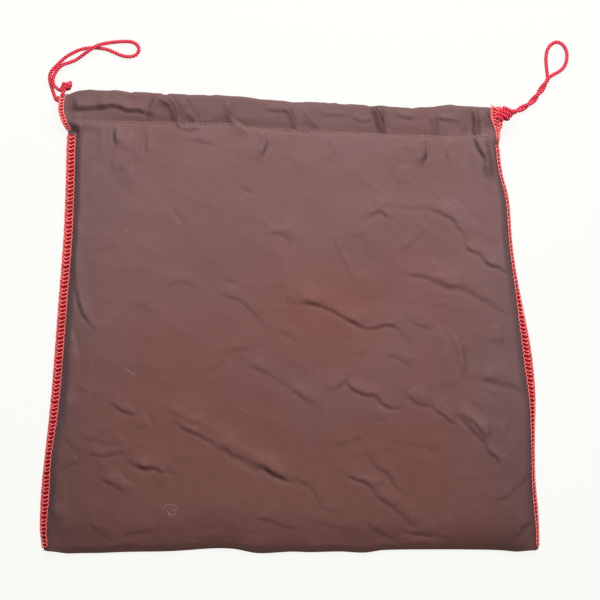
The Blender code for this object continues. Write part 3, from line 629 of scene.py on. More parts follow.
    def relief(self, x: Array, y: Array) -> Array:
        """Waves and crumples of the front.

        Args:
            x: Places across.
            y: Places up.

        Returns:
            The height that they add, never below zero by more than a little.
        """
        height = 0.0
        for size, cell_x, cell_y, start in self.long_waves:
            height = height + size * np.sin(x / cell_x + y / cell_y + start)
        for cell, size, seed in self.rumples:
            height = height + size * value_noise(x, y, cell, seed)
        cos, sin = self.ridge_way
        along, across = cos * x - sin * y, sin * x + cos * y
        broken, finer = self.ridge_breaks
        for cell, size, seed in self.ridges:
            ridges = value_noise(along * self.ridge_stretch, across, cell, seed)
            ridges = ridges + broken * value_noise(x, y, cell * finer, seed + 1)
            height = height + size * np.clip(1 - self.ridge_edge * np.abs(ridges), 0, 1) ** self.ridge_power
        return height

    def folds(self, x: Array, y: Array) -> Array:
        """Height of the creases at places across and up the bag.

        Args:
            x: Places across.
            y: Places up.

        Returns:
            The height that all creases add there.
        """
        (wide, wide_cell), (fine, fine_cell) = self.drift
        x = x + wide * value_noise(x, y, wide_cell, 41) + fine * value_noise(x, y, fine_cell, 42)
        y = y + wide * value_noise(x, y, wide_cell, 43) + fine * value_noise(x, y, fine_cell, 44)
        return sum(crease.relief(x, y) for crease in self.creases)

    def pucker(self, x: Array, heights: Array) -> Array:
        """How far the stitching draws the cloth in, near the stitch line."""
        gathers = value_noise(x, 0 * x, self.gather_cell, 61) * np.exp(-(heights / self.gather_reach) ** 2)
        return self.pucker_depth * np.exp(-(heights / self.pucker_reach) ** 2) + self.gather_depth * gathers

    def front_panel(self, a: Array, share: Array, detail: bool) -> tuple[Array, Array]:
        """Middle of the front cloth over a grid of shares.

        Args:
            a: Shares of the width.
            share: Shares of the panel's height.
            detail: Whether creases are added.

        Returns:
            The points, rows by columns, and the outward directions.
        """
        left, right, x, y, distance, side_z = self._grid(a, share, True)
        low = share[:, None] * self.panel_height
        fold_z = self.cloth / 2 + 2 * self.bottom_fold_radius
        near_side = np.exp(-(distance / (self.side_roll / 2)) ** 2)
        base = side_z + (fold_z - side_z) * (1 - smooth(low / self.side_roll)) * (1 - near_side)
        top_z = self.mouth_gap + self.casing_thickness + self.pinch_level
        near_top = smooth(1 - (1 - share[:, None]) * self.panel_height / self.seam_settle)
        high = self.body_height + (top_z - self.body_height) * near_top
        rise, lift = swell(distance / self.side_roll), swell(low / self.side_roll)
        if detail:
            rise = (1 - self.side_crisp) * rise + self.side_crisp * swell(distance / self.near_roll)
            lift = (1 - self.bottom_crisp) * lift + self.bottom_crisp * swell(low / self.bottom_roll)
        z = base + (high - base) * rise * lift
        if detail:
            beside, below = self.flat_margin
            free = smooth(distance / (beside * self.side_roll)) * smooth(low / (below * self.side_roll))
            start, span = self.top_calm_span
            calm = 1 - self.top_calm * smooth((share[:, None] - start) / span)
            beside, below = self.crease_margin
            near = smooth(distance / beside) * smooth(low / below)
            z = z + (self.relief(x, y) * free + self.folds(x, y) * near) * calm
            z = z - self.pucker(x, (share[:, None] - 1) * self.panel_height) * free
        points = np.stack([x, y, z], axis=2)
        return self._with_lips(points, left, right, distance)

    def back_panel(self, a: Array, share: Array, detail: bool) -> tuple[Array, Array]:
        """Middle of the back cloth over a grid of shares.

        Args:
            a: Shares of the width.
            share: Shares of the panel's height.
            detail: Whether folds are added.

        Returns:
            The points, rows by columns, and the upward directions.
        """
        left, right, x, y, distance, side_z = self._grid(a, share, False)
        z = side_z + (self.cloth / 2 - side_z) * smooth(distance / self.back_roll)
        if detail:
            above = 1 - share[:, None]
            size, edge = self.back_fold
            long, short, waver = self.back_cells
            ways = value_noise(x, y, long, 31) + 0.3 * value_noise(x, y, short, 32)
            folds = np.clip(1 - edge * np.abs(ways), 0, 1)
            lift = size * folds ** 2 + self.back_waver * (1 + value_noise(x, y, waver, 33))
            inside = smooth(distance / self.back_margin)
            z = z + lift * inside * smooth(above * self.back_ends) * smooth(share[:, None] * self.back_ends)
            size, reach = self.back_gather
            z = z + size * np.exp(-(above * self.panel_height / reach) ** 2) * inside
        points = np.stack([x, y, z], axis=2)
        return self._with_lips(points, left, right, distance)

    def _grid(self, a: Array, share: Array, front: bool) -> tuple:
        """What both panels start from.

        Args:
            a: Shares of the width.
            share: Shares of the panel's height.
            front: Whether it is the front panel.

        Returns:
            Both edges as side_edge gives them, places across and up, the distance to the nearer side
            and its height.
        """
        left, right = self.side_edge(-1, share, front), self.side_edge(1, share, front)
        start, end = left[1], right[1]
        width = (end[:, 0] - start[:, 0])[:, None]
        x = start[:, :1] + width * a[None, :]
        y = self.panel_y(a[None, :], share[:, None])
        distance = np.minimum(a, 1 - a)[None, :] * width
        return left, right, x, y, distance, np.where(a[None, :] < 0.5, start[:, 2:], end[:, 2:])

    def _with_lips(self, points: Array, left: tuple[Array, ...], right: tuple[Array, ...],
                   distance: Array) -> tuple[Array, Array]:
        """Add the strips of cloth that lie inside the overlock, and the upward directions.

        Args:
            points: The panel's points, rows by columns.
            left: The left edge as side_edge gives it.
            right: The right edge.
            distance: How far each point is from the nearer side.

        Returns:
            The points with two more columns at each side, and a direction for each.
        """
        up = np.zeros_like(points)
        up[:, :, 2] = 1
        near = (1 - smooth(distance / self.lean_reach))[:, :, None]
        half = points.shape[1] // 2
        up[:, :half] += (left[2][:, None, :] - up[:, :half]) * near[:, :half]
        up[:, half:] += (right[2][:, None, :] - up[:, half:]) * near[:, half:]
        head = [left[1] + (left[0] - left[1]) * f for f in (1.0, 0.5)]
        tail = [right[1] + (right[0] - right[1]) * f for f in (0.5, 1.0)]
        whole = np.concatenate([np.stack(head, axis=1), points, np.stack(tail, axis=1)], axis=1)
        ups = np.concatenate([np.stack([left[2]] * 2, axis=1), up, np.stack([right[2]] * 2, axis=1)], axis=1)
        return whole, ups / np.linalg.norm(ups, axis=2)[:, :, None]

    def outer_wall(self, a: Array, heights: Array, front: bool, detail: bool) -> Array:
        """Middle of a casing's outer wall.

        Args:
            a: Shares of the width.
            heights: Heights above the stitch line, one column or one for each column.
            front: Whether it is the front casing.
            detail: Whether gathers are added.

        Returns:
            The points, rows by columns with the strips inside the overlock.
        """
        panel = self.front_panel if front else self.back_panel
        start = panel(a, np.array([1.0]), detail)[0][0]
        shares = np.concatenate([[0, 0], a, [1, 1]])
        x = start[:, 0][None, :]
        heights = np.atleast_2d(heights)
        full = self.casing_level(x, front) + self.cloth / 2 + (self.wall_to_wall if front else 0)
        inside = self.to_casing_end(x) - self.edge_width - self.clearance
        full = full + (self.casing_end_z(front) - full) * (1 - smooth(inside / self.edge_width))
        y = self.stitch_y(shares)[None, :] + heights
        bow = self.bow(-1, heights) - self.bow(-1, np.zeros(1))
        x = x + bow * (1 - smooth((x - self.casing_end_x(-1)) / self.bow_reach))
        z = start[:, 2][None, :] + (full - start[:, 2][None, :]) * smooth(heights / self.casing_turn)
        if front and detail:
            bare = self.front_panel(a, np.array([1.0]), False)[0][0][:, 2][None, :]
            z = bare + (full - bare) * smooth(heights / self.casing_turn)
            body = smooth(inside / self.casing_margin)
            low = self.casing_relief
            weight = low + (1 - low) * smooth(heights / self.casing_relief_rise)
            crumples = self.relief(x + 0 * y, y) + self.folds(x + 0 * y, y)
            z = z + np.maximum(crumples, self.deepest_crease) * body * weight
            z = z - self.pucker(x + 0 * y, heights) * body
        return np.stack([x + 0 * y, y, z], axis=2)

    def inner_wall(self, a: Array, heights: Array, front: bool) -> Array:
        """Middle of a casing's inner wall, shorter than the outer one.

        Args:
            a: Shares of the width.
            heights: Heights above the stitch line, one column or one for each column.
            front: Whether it is the front casing.

        Returns:
            The points, rows by columns.
        """
        ends = (self.casing_end_x(-1) + self.wall_shorter, self.casing_end_x(1) - self.wall_shorter)
        shares = np.concatenate([[0, 0], a, [1, 1]])
        x = ends[0] + (ends[1] - ends[0]) * shares
        x[0], x[1] = x[0] - self.wall_end_reach, x[1] - self.wall_end_reach / 2
        x[-1], x[-2] = x[-1] + self.wall_end_reach, x[-2] + self.wall_end_reach / 2
        x = x[None, :]
        heights = np.atleast_2d(heights)
        full = self.casing_level(x, front) + self.cloth / 2 + (0 if front else self.wall_to_wall)
        start = self.outer_wall(a, np.array([[0.0]]), front, False)[:, :, 2]
        pinched = start - self.pinch if front else self.cloth / 2 + self.pinch
        z = pinched + (full - pinched) * smooth(heights / self.casing_turn)
        y = self.stitch_y(shares)[None, :] + heights
        return np.stack([x + 0 * y, y, z + 0 * y], axis=2)


class Skin:
    """Points and faces that are gathered into one mesh, in mm."""

    def __init__(self) -> None:
        """Start empty."""
        self.points: list[Array] = []
        self.faces: Faces = []
        self.marks: list[Array] = []
        self.places: list[Array] = []
        self.count = 0

    def add(self, points: Array, faces: Faces, marks: Array | None = None,
            places: Array | None = None) -> None:
        """Take in a shape.

        Args:
            points: Its points, one row each.
            faces: Its faces by the shape's own point numbers.
            marks: A value for each point, such as how deep it lies in a groove.
            places: Two numbers for each point: where it is along and around the shape.
        """
        self.faces += [tuple(k + self.count for k in face) for face in faces]
        self.points.append(points)
        self.marks.append(np.zeros(len(points)) if marks is None else marks)
        self.places.append(np.zeros((len(points), 2)) if places is None else places)
        self.count += len(points)

    def build(self, name: str, finish: Material, slot: Slot) -> bpy.types.Object:
        """Make the object, in metres at the origin.

        Args:
            name: The object's name.
            finish: Its material.
            slot: Not used.

        Returns:
            The object, riding on the bag.
        """
        mesh = bpy.data.meshes.new(name)
        points = np.concatenate(self.points) * MM
        mesh.from_pydata(points.tolist(), [], self.faces)
        shape = bmesh.new()
        shape.from_mesh(mesh)
        bmesh.ops.recalc_face_normals(shape, faces=shape.faces)
        shape.to_mesh(mesh)
        shape.free()
        places = np.concatenate(self.places)
        layer = mesh.uv_layers.new(name="surface")
        corner_points = np.empty(len(mesh.loops), int)
        mesh.loops.foreach_get("vertex_index", corner_points)
        layer.data.foreach_set("uv", places[corner_points].ravel())
        mark = mesh.attributes.new("mark", "FLOAT", "POINT")
        mark.data.foreach_set("value", np.concatenate(self.marks))
        mesh.shade_smooth()
        mesh.materials.append(finish)
        item = bpy.data.objects.new(name, mesh)
        bpy.context.collection.objects.link(item)
        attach(item, "root")
        LOG.info("%s: %d faces", name, len(mesh.polygons))
        return item


def frames_along(path: Array) -> tuple[Array, Array, Array]:
    """Directions that follow a path without twisting.

    Args:
        path: Points, one row each.

    Returns:
        The tangents and two directions across them.
    """
    tangent = np.gradient(path, axis=0)
    tangent /= np.linalg.norm(tangent, axis=1)[:, None]
    across = np.zeros_like(path)
    start = UP if abs(tangent[0, 2]) < 0.9 else np.array([1.0, 0, 0])
    for k, way in enumerate(tangent):
        start = start - way * (start @ way)
        start = start / np.linalg.norm(start)
        across[k] = start
    return tangent, across, np.cross(tangent, across)


def rings(path: Array, radii: Array) -> Array:
    """Points round a path.

    Args:
        path: Points of the middle, one row each.
        radii: A row for each of them, with the radius at each point round it.

    Returns:
        The points, ring by ring.
    """
    _, first, second = frames_along(path)
    turn = (np.arange(radii.shape[1]) * 2 * math.pi / radii.shape[1])[None, :, None]
    around = np.cos(turn) * first[:, None] + np.sin(turn) * second[:, None]
    return (path[:, None] + radii[:, :, None] * around).reshape(-1, 3)


def tube(path: Array, radii: Array, sides: int) -> tuple[Array, Faces]:
    """A closed tube of varying radius.

    Args:
        path: Points of the middle, one row each.
        radii: Radius at each point.
        sides: Points around.

    Returns:
        The points and the faces.
    """
    return rings(path, np.tile(radii[:, None], (1, sides))), tube_faces(len(path), sides)


def tube_faces(rings: int, sides: int) -> Faces:
    """Faces of a tube whose points go ring by ring, with both ends closed.

    Args:
        rings: How many rings.
        sides: Points around each.

    Returns:
        The faces by point numbers.
    """
    faces = [tuple(range(sides))[::-1], tuple(range((rings - 1) * sides, rings * sides))]
    for ring in range(rings - 1):
        for k in range(sides):
            a, b = ring * sides + k, ring * sides + (k + 1) % sides
            faces.append((a, b, b + sides, a + sides))
    return faces


@dataclass(frozen=True)
class Twist:
    """A cord laid up from plies, in mm."""

    diameter: float = 3.0
    plies: int = 3
    lay: float = 6.3
    around: int = 24
    step: float = 0.55
    filled: float = 0.5
    ply_share: float = 0.4641
    end_share: float = 0.55
    end_length: float = 0.9
    groove_span: Pair = (0.1, 0.65)

    def sweep(self, skin: Skin, path: Array) -> None:
        """Add the cord along a path.

        Args:
            skin: What it is added to.
            path: Points of the middle, close together.
        """
        run = run_along(path)
        turn = np.arange(self.around) * 2 * math.pi / self.around
        phase = turn[None, :] - 2 * math.pi * run[:, None] / self.lay
        sector = 2 * math.pi / self.plies
        off = (phase + sector / 2) % sector - sector / 2
        radius = self.diameter / 2
        ply = radius * self.ply_share
        lobe = (radius - ply) * np.cos(off) + np.sqrt(
            np.maximum(ply ** 2 - ((radius - ply) * np.sin(off)) ** 2, 0))
        radii = np.maximum(lobe, self.filled * radius)
        ends = np.minimum(run, run[-1] - run)[:, None]
        rounded = np.sqrt(np.clip(ends / self.end_length, 0, 1))
        radii = radii * (self.end_share + (1 - self.end_share) * rounded)
        # How deep each point lies between the plies, for the painted shade in the cord's grooves.
        start, span = self.groove_span
        groove = smooth((np.abs(off) / (sector / 2) - start) / span)
        places = np.stack([run[:, None] + 0 * off, off * radius], axis=2).reshape(-1, 2) * MM
        skin.add(rings(path, radii), tube_faces(len(path), self.around), groove.ravel(), places)


class Value:
    """A node's output that takes part in sums."""

    def __init__(self, tree: bpy.types.NodeTree, socket: bpy.types.NodeSocket) -> None:
        """Keep the socket and its tree."""
        self.tree = tree
        self.socket = socket

    def _math(self, operation: str, first: "Value | float", second: "Value | float") -> "Value":
        """One Math node.

        Args:
            operation: The node's operation.
            first: Its first input.
            second: Its second input.

        Returns:
            The node's output.
        """
        node = self.tree.nodes.new("ShaderNodeMath")
        node.operation = operation
        for target, given in zip(node.inputs, (first, second)):
            if isinstance(given, Value):
                self.tree.links.new(given.socket, target)
            else:
                target.default_value = given
        return Value(self.tree, node.outputs[0])

    def __add__(self, other: "Value | float") -> "Value":
        """Sum."""
        return self._math("ADD", self, other)

    def __sub__(self, other: "Value | float") -> "Value":
        """Difference."""
        return self._math("SUBTRACT", self, other)

    def __rsub__(self, other: float) -> "Value":
        """Difference from a number."""
        return self._math("SUBTRACT", other, self)

    def __mul__(self, other: "Value | float") -> "Value":
        """Product."""
        return self._math("MULTIPLY", self, other)

    def __pow__(self, other: float) -> "Value":
        """Power."""
        return self._math("POWER", self, other)

    __radd__ = __add__
    __rmul__ = __mul__


def clamped(value: Value) -> Value:
    """A value kept between 0 and 1.

    Args:
        value: The value.

    Returns:
        The Clamp node's output.
    """
    node = value.tree.nodes.new("ShaderNodeClamp")
    value.tree.links.new(value.socket, node.inputs[0])
    return Value(value.tree, node.outputs[0])


class Paint:
    """A material's nodes, made one by one."""

    def __init__(self, name: str) -> None:
        """Start a material with its shader.

        Args:
            name: The material's name.
        """
        self.material = bpy.data.materials.new(name)
        self.material.use_nodes = True
        self.tree = self.material.node_tree
        self.tree.nodes.clear()
        self.shader = self.tree.nodes.new("ShaderNodeBsdfPrincipled")
        self.output = self.tree.nodes.new("ShaderNodeOutputMaterial")
        self.tree.links.new(self.shader.outputs[0], self.output.inputs[0])

    def node(self, kind: str, settings: dict, inputs: dict, output: str | int = 0) -> Value:
        """Any node.

        Args:
            kind: The node's type.
            settings: Its own settings, set first. A ramp's stops go under "stops".
            inputs: Values or links by the socket's name or number.
            output: The wanted output.

        Returns:
            The wanted output.
        """
        node = self.tree.nodes.new(kind)
        for key, given in settings.items():
            if key == "stops":
                ramp = node.color_ramp
                for k, (place, colour) in enumerate(given):
                    stop = ramp.elements[k] if k < 2 else ramp.elements.new(place)
                    stop.position, stop.color = place, (*colour, 1)
            else:
                setattr(node, key, given)
        for key, given in inputs.items():
            self.feed(node.inputs[key], given)
        return Value(self.tree, node.outputs[output])

    def feed(self, socket: bpy.types.NodeSocket, given: "Value | float | tuple") -> None:
        """Set a socket or link a value to it.

        Args:
            socket: The input.
            given: A value, a number, a vector or a colour.
        """
        if isinstance(given, Value):
            self.tree.links.new(given.socket, socket)
        elif isinstance(given, tuple) and len(given) == 3 and socket.type == "RGBA":
            socket.default_value = (*given, 1)
        else:
            socket.default_value = given

    def mix(self, share: "Value | float", first: "Value | tuple", second: "Value | tuple") -> Value:
        """Blend of two colours."""
        return self.node("ShaderNodeMix", {"data_type": "RGBA"}, {0: share, 6: first, 7: second}, 2)

    def noise(self, where: Value, scale: float, detail: float = 2.0) -> Value:
        """Noise from 0 to 1."""
        return self.node("ShaderNodeTexNoise", {}, {"Vector": where, "Scale": scale, "Detail": detail})

    def give(self, socket: str, given: "Value | float | tuple") -> None:
        """Set a socket of the shader or link a value to it."""
        self.feed(self.shader.inputs[socket], given)

    def placed(self, where: Value, scale: Triple = (1, 1, 1), turn: float = 0) -> Value:
        """Places turned about z and then scaled, for a pattern."""
        return self.node("ShaderNodeMapping", {}, {"Vector": where, "Rotation": (0, 0, turn), "Scale": scale})

    def where(self) -> Value:
        """Object coordinates in metres."""
        return self.node("ShaderNodeTexCoord", {}, {}, "Object")

    def surface(self) -> Value:
        """Places along and around the piece, in metres."""
        return self.node("ShaderNodeUVMap", {"uv_map": "surface"}, {})

    def mark(self) -> Value:
        """The value kept with each point."""
        return self.node("ShaderNodeAttribute", {"attribute_name": "mark"}, {}, "Fac")

    def bump(self, height: Value, distance: float) -> None:
        """Raise the surface by a height from 0 to 1."""
        inputs = {"Height": height, "Distance": distance}
        self.give("Normal", self.node("ShaderNodeBump", {}, inputs))


@dataclass(frozen=True)
class ShotCloth:
    """Thin, close cloth of brown and mauve, whose colour also holds painted sheen and painted shade."""

    brown: Colour = (0.160, 0.064, 0.054)
    mauve: Colour = (0.150, 0.082, 0.083)
    # Dark of the slubs, also used for painted shade low at the sides and on the casing.
    slub_and_shade_dark: Colour = (0.090, 0.040, 0.040)
    # Colours of the painted shade on steep slopes, browner in the middle and more mauve at the sides.
    brown_shade: Colour = (0.062, 0.023, 0.021)
    mauve_shade: Colour = (0.052, 0.026, 0.034)
    warm: Colour = (0.190, 0.060, 0.050)
    yarn: float = 0.00032
    slub: Triple = (40, 900, 1)
    patch_scale: float = 9.0
    crumple_scale: float = 260.0
    rumple_scale: float = 70.0
    rumple_turn: float = 0.53
    rumple_stretch: Triple = (0.7, 1.1, 1.0)
    warm_place: Pair = (0.026, 0.004)
    # Where the painted shade on the casing starts, in metres up, and the slant of its edge.
    casing_shade_start: float = 0.1430
    casing_shade_slope: float = 0.033
    relief: float = 0.0001

    def build(self) -> Material:
        """Make the finish.

        Returns:
            The material.
        """
        paint = Paint("shot_cloth")
        where, surface, tilt = paint.where(), paint.surface(), paint.mark()
        slubs = paint.noise(paint.placed(surface, self.slub), 1.0)
        cross_slubs = paint.noise(paint.placed(surface, (self.slub[1], self.slub[0], 1)), 1.0)
        streaks = (slubs + cross_slubs) * 0.5
        paint.give("Base Color", self.colour(paint, where, tilt, streaks))
        turns = 2 * math.pi / self.yarn / 20
        warp = paint.node("ShaderNodeTexWave", {"bands_direction": "X"}, {"Vector": surface, "Scale": turns})
        weft = paint.node("ShaderNodeTexWave", {"bands_direction": "Y"}, {"Vector": surface, "Scale": turns})
        crumple = paint.noise(where, self.crumple_scale, 3.0)
        slanting = paint.placed(paint.placed(where, turn=self.rumple_turn), self.rumple_stretch)
        rumple = paint.node("ShaderNodeTexNoise", {}, {"Vector": slanting, "Scale": self.rumple_scale,
                                                       "Detail": 3.0, "Distortion": 0.3})
        paint.bump(warp * 0.2 + weft * 0.2 + crumple * 0.8 + streaks * 0.5 + rumple * 2.0, self.relief)
        paint.give("Roughness", 0.52 + 0.14 * crumple)
        paint.give("Specular IOR Level", 0.22)
        paint.give("Sheen Weight", 0.04)
        paint.give("Sheen Roughness", 0.4)
        return paint.material

    def colour(self, paint: Paint, where: Value, tilt: Value, streaks: Value) -> Value:
        """Brown in the middle with random mauve patches; painted sheen of mauve above, at the sides and where
        the cloth leans; painted shade on steep slopes, on the casing and low at the sides.

        Args:
            paint: The material's nodes.
            where: Places on the bag, in metres.
            tilt: How far the cloth leans, from 0 to 1.
            streaks: The slubs of both ways.

        Returns:
            The colour.
        """
        up = paint.node("ShaderNodeSeparateXYZ", {}, {"Vector": where}, "Y")
        across = paint.node("ShaderNodeSeparateXYZ", {}, {"Vector": where}, "X")
        beside = clamped((across ** 2.0) * 60.0 - 0.75)
        patches = paint.noise(where, self.patch_scale, 3.0)
        # Mauve share: random patches of tone, and painted sheen where the cloth leans, higher up and towards
        # the sides.
        share = tilt * 0.7 + (patches - 0.42) * 1.1 + (up + 0.03) * 3.0 + 0.5 * beside
        colour = paint.mix(clamped(share), self.brown, self.mauve)
        # Painted shade: darker towards the bottom at the sides.
        colour = paint.mix(clamped((0.02 - up) * 4.5) * beside * 0.5, colour, self.slub_and_shade_dark)
        middle = (across - self.warm_place[0]) ** 2.0 + (up - self.warm_place[1]) ** 2.0
        colour = paint.mix(clamped(1.0 - middle * 380.0) * 0.42, colour, self.warm)
        colour = paint.mix((streaks - 0.40) * 0.55, colour, self.slub_and_shade_dark)
        # Painted shade on the casing, above a slanting line.
        casing = (up + across * self.casing_shade_slope - self.casing_shade_start) * 160.0
        colour = paint.mix(0.42 * clamped(casing), colour, self.slub_and_shade_dark)
        # Painted shade where the cloth leans steeply, in creases, gathers and the rolls at the sides.
        shade = paint.mix(beside, self.brown_shade, self.mauve_shade)
        return paint.mix(clamped((tilt - 0.27) * 1.7) * (0.72 - 0.30 * beside), colour, shade)


@dataclass(frozen=True)
class RedThread:
    """Soft looping thread of the overlock, pale where it bulges, and deep red between, which is partly the
    thread beneath and partly painted shade.
    """

    crown: Colour = (1.0, 0.225, 0.222)
    # Deep red of the bed between the loops: partly the thread beneath, partly painted shade.
    deep: Colour = (0.27, 0.0, 0.004)
    fibre: Triple = (900, 5200, 1)

    def build(self) -> Material:
        """Make the finish.

        Returns:
            The material.
        """
        paint = Paint("red_thread")
        surface, mark = paint.surface(), paint.mark()
        fibre = paint.noise(paint.placed(surface, self.fibre), 1.0)
        share = mark * 1.2 - 0.06 + (fibre - 0.5) * 0.5
        paint.give("Base Color", paint.mix(share, self.crown, self.deep))
        paint.bump(fibre, 0.00012)
        paint.give("Roughness", 0.42 + 0.2 * fibre)
        paint.give("Specular IOR Level", 0.16)
        paint.give("Sheen Weight", 0.03)
        return paint.material


@dataclass(frozen=True)
class RedCord:
    """Shiny twisted cord, crimson, with painted shade in the grooves between the plies."""

    crown: Colour = (1.0, 0.082, 0.135)
    # Painted shade in the grooves between the plies.
    groove: Colour = (0.34, 0.0, 0.014)
    fibre: Triple = (500, 4200, 1)
    slant: float = 0.5

    def build(self) -> Material:
        """Make the finish.

        Returns:
            The material.
        """
        paint = Paint("red_cord")
        surface, mark = paint.surface(), paint.mark()
        fibre = paint.noise(paint.placed(surface, self.fibre, self.slant), 1.0)
        share = mark * 1.15 + (fibre - 0.5) * 0.25
        paint.give("Base Color", paint.mix(share, self.crown, self.groove))
        paint.bump(fibre, 0.00016)
        paint.give("Roughness", 0.30 + 0.2 * fibre)
        paint.give("Specular IOR Level", 0.24)
        return paint.material


@dataclass(frozen=True)
class HiddenCord:
    """The cords inside the casings, with their lay across the bag drawn as stripes of painted shade."""

    crown: Colour = (0.78, 0.030, 0.060)
    # Painted shade in the lays.
    groove: Colour = (0.22, 0.0, 0.012)
    lay: float = 0.0021
    slant: float = 0.5

    def build(self) -> Material:
        """Make the finish.

        Returns:
            The material.
        """
        paint = Paint("hidden_cord")
        where = paint.placed(paint.where(), turn=self.slant)
        lays = paint.node("ShaderNodeTexWave", {"bands_direction": "X"},
                          {"Vector": where, "Scale": math.pi / 10 / self.lay})
        paint.give("Base Color", paint.mix(lays, self.groove, self.crown))
        paint.bump(lays, 0.0004)
        paint.give("Roughness", 0.45)
        return paint.material


@dataclass(frozen=True)
class PaleThread:
    """Fine thread of the topstitching, and lint of the same colour."""

    name: str = "pale_thread"
    colour: Colour = (0.36, 0.20, 0.16)
    other: Colour = (0.20, 0.10, 0.09)

    def build(self) -> Material:
        """Make the finish.

        Returns:
            The material.
        """
        paint = Paint(self.name)
        fibre = paint.noise(paint.where(), 2600.0, 2.0)
        paint.give("Base Color", paint.mix(fibre, self.other, self.colour))
        paint.bump(fibre, 0.00008)
        paint.give("Roughness", 0.5 + 0.2 * fibre)
        return paint.material


class Finishes:
    """Every finish, built once."""

    def __init__(self) -> None:
        """Build them."""
        self.cloth = ShotCloth().build()
        self.thread = RedThread().build()
        self.cord = RedCord().build()
        self.hidden = HiddenCord().build()
        self.stitch = PaleThread().build()
        self.lint = PaleThread("lint", (0.52, 0.43, 0.38), (0.34, 0.24, 0.22)).build()


@dataclass(frozen=True)
class Knot:
    """Turns of the cord round its own middle, in mm: its place is from the casing's corner."""

    place: Triple
    lean: float
    turns: float
    half_length: float
    wide: float
    high: float
    slope: float
    tail: float
    start: float = 0.6
    tucked: float = 0.35
    tuck_share: float = 0.1
    overhang: float = 0.4
    core_lift: float = 2.2
    core_reach: float = 7.0


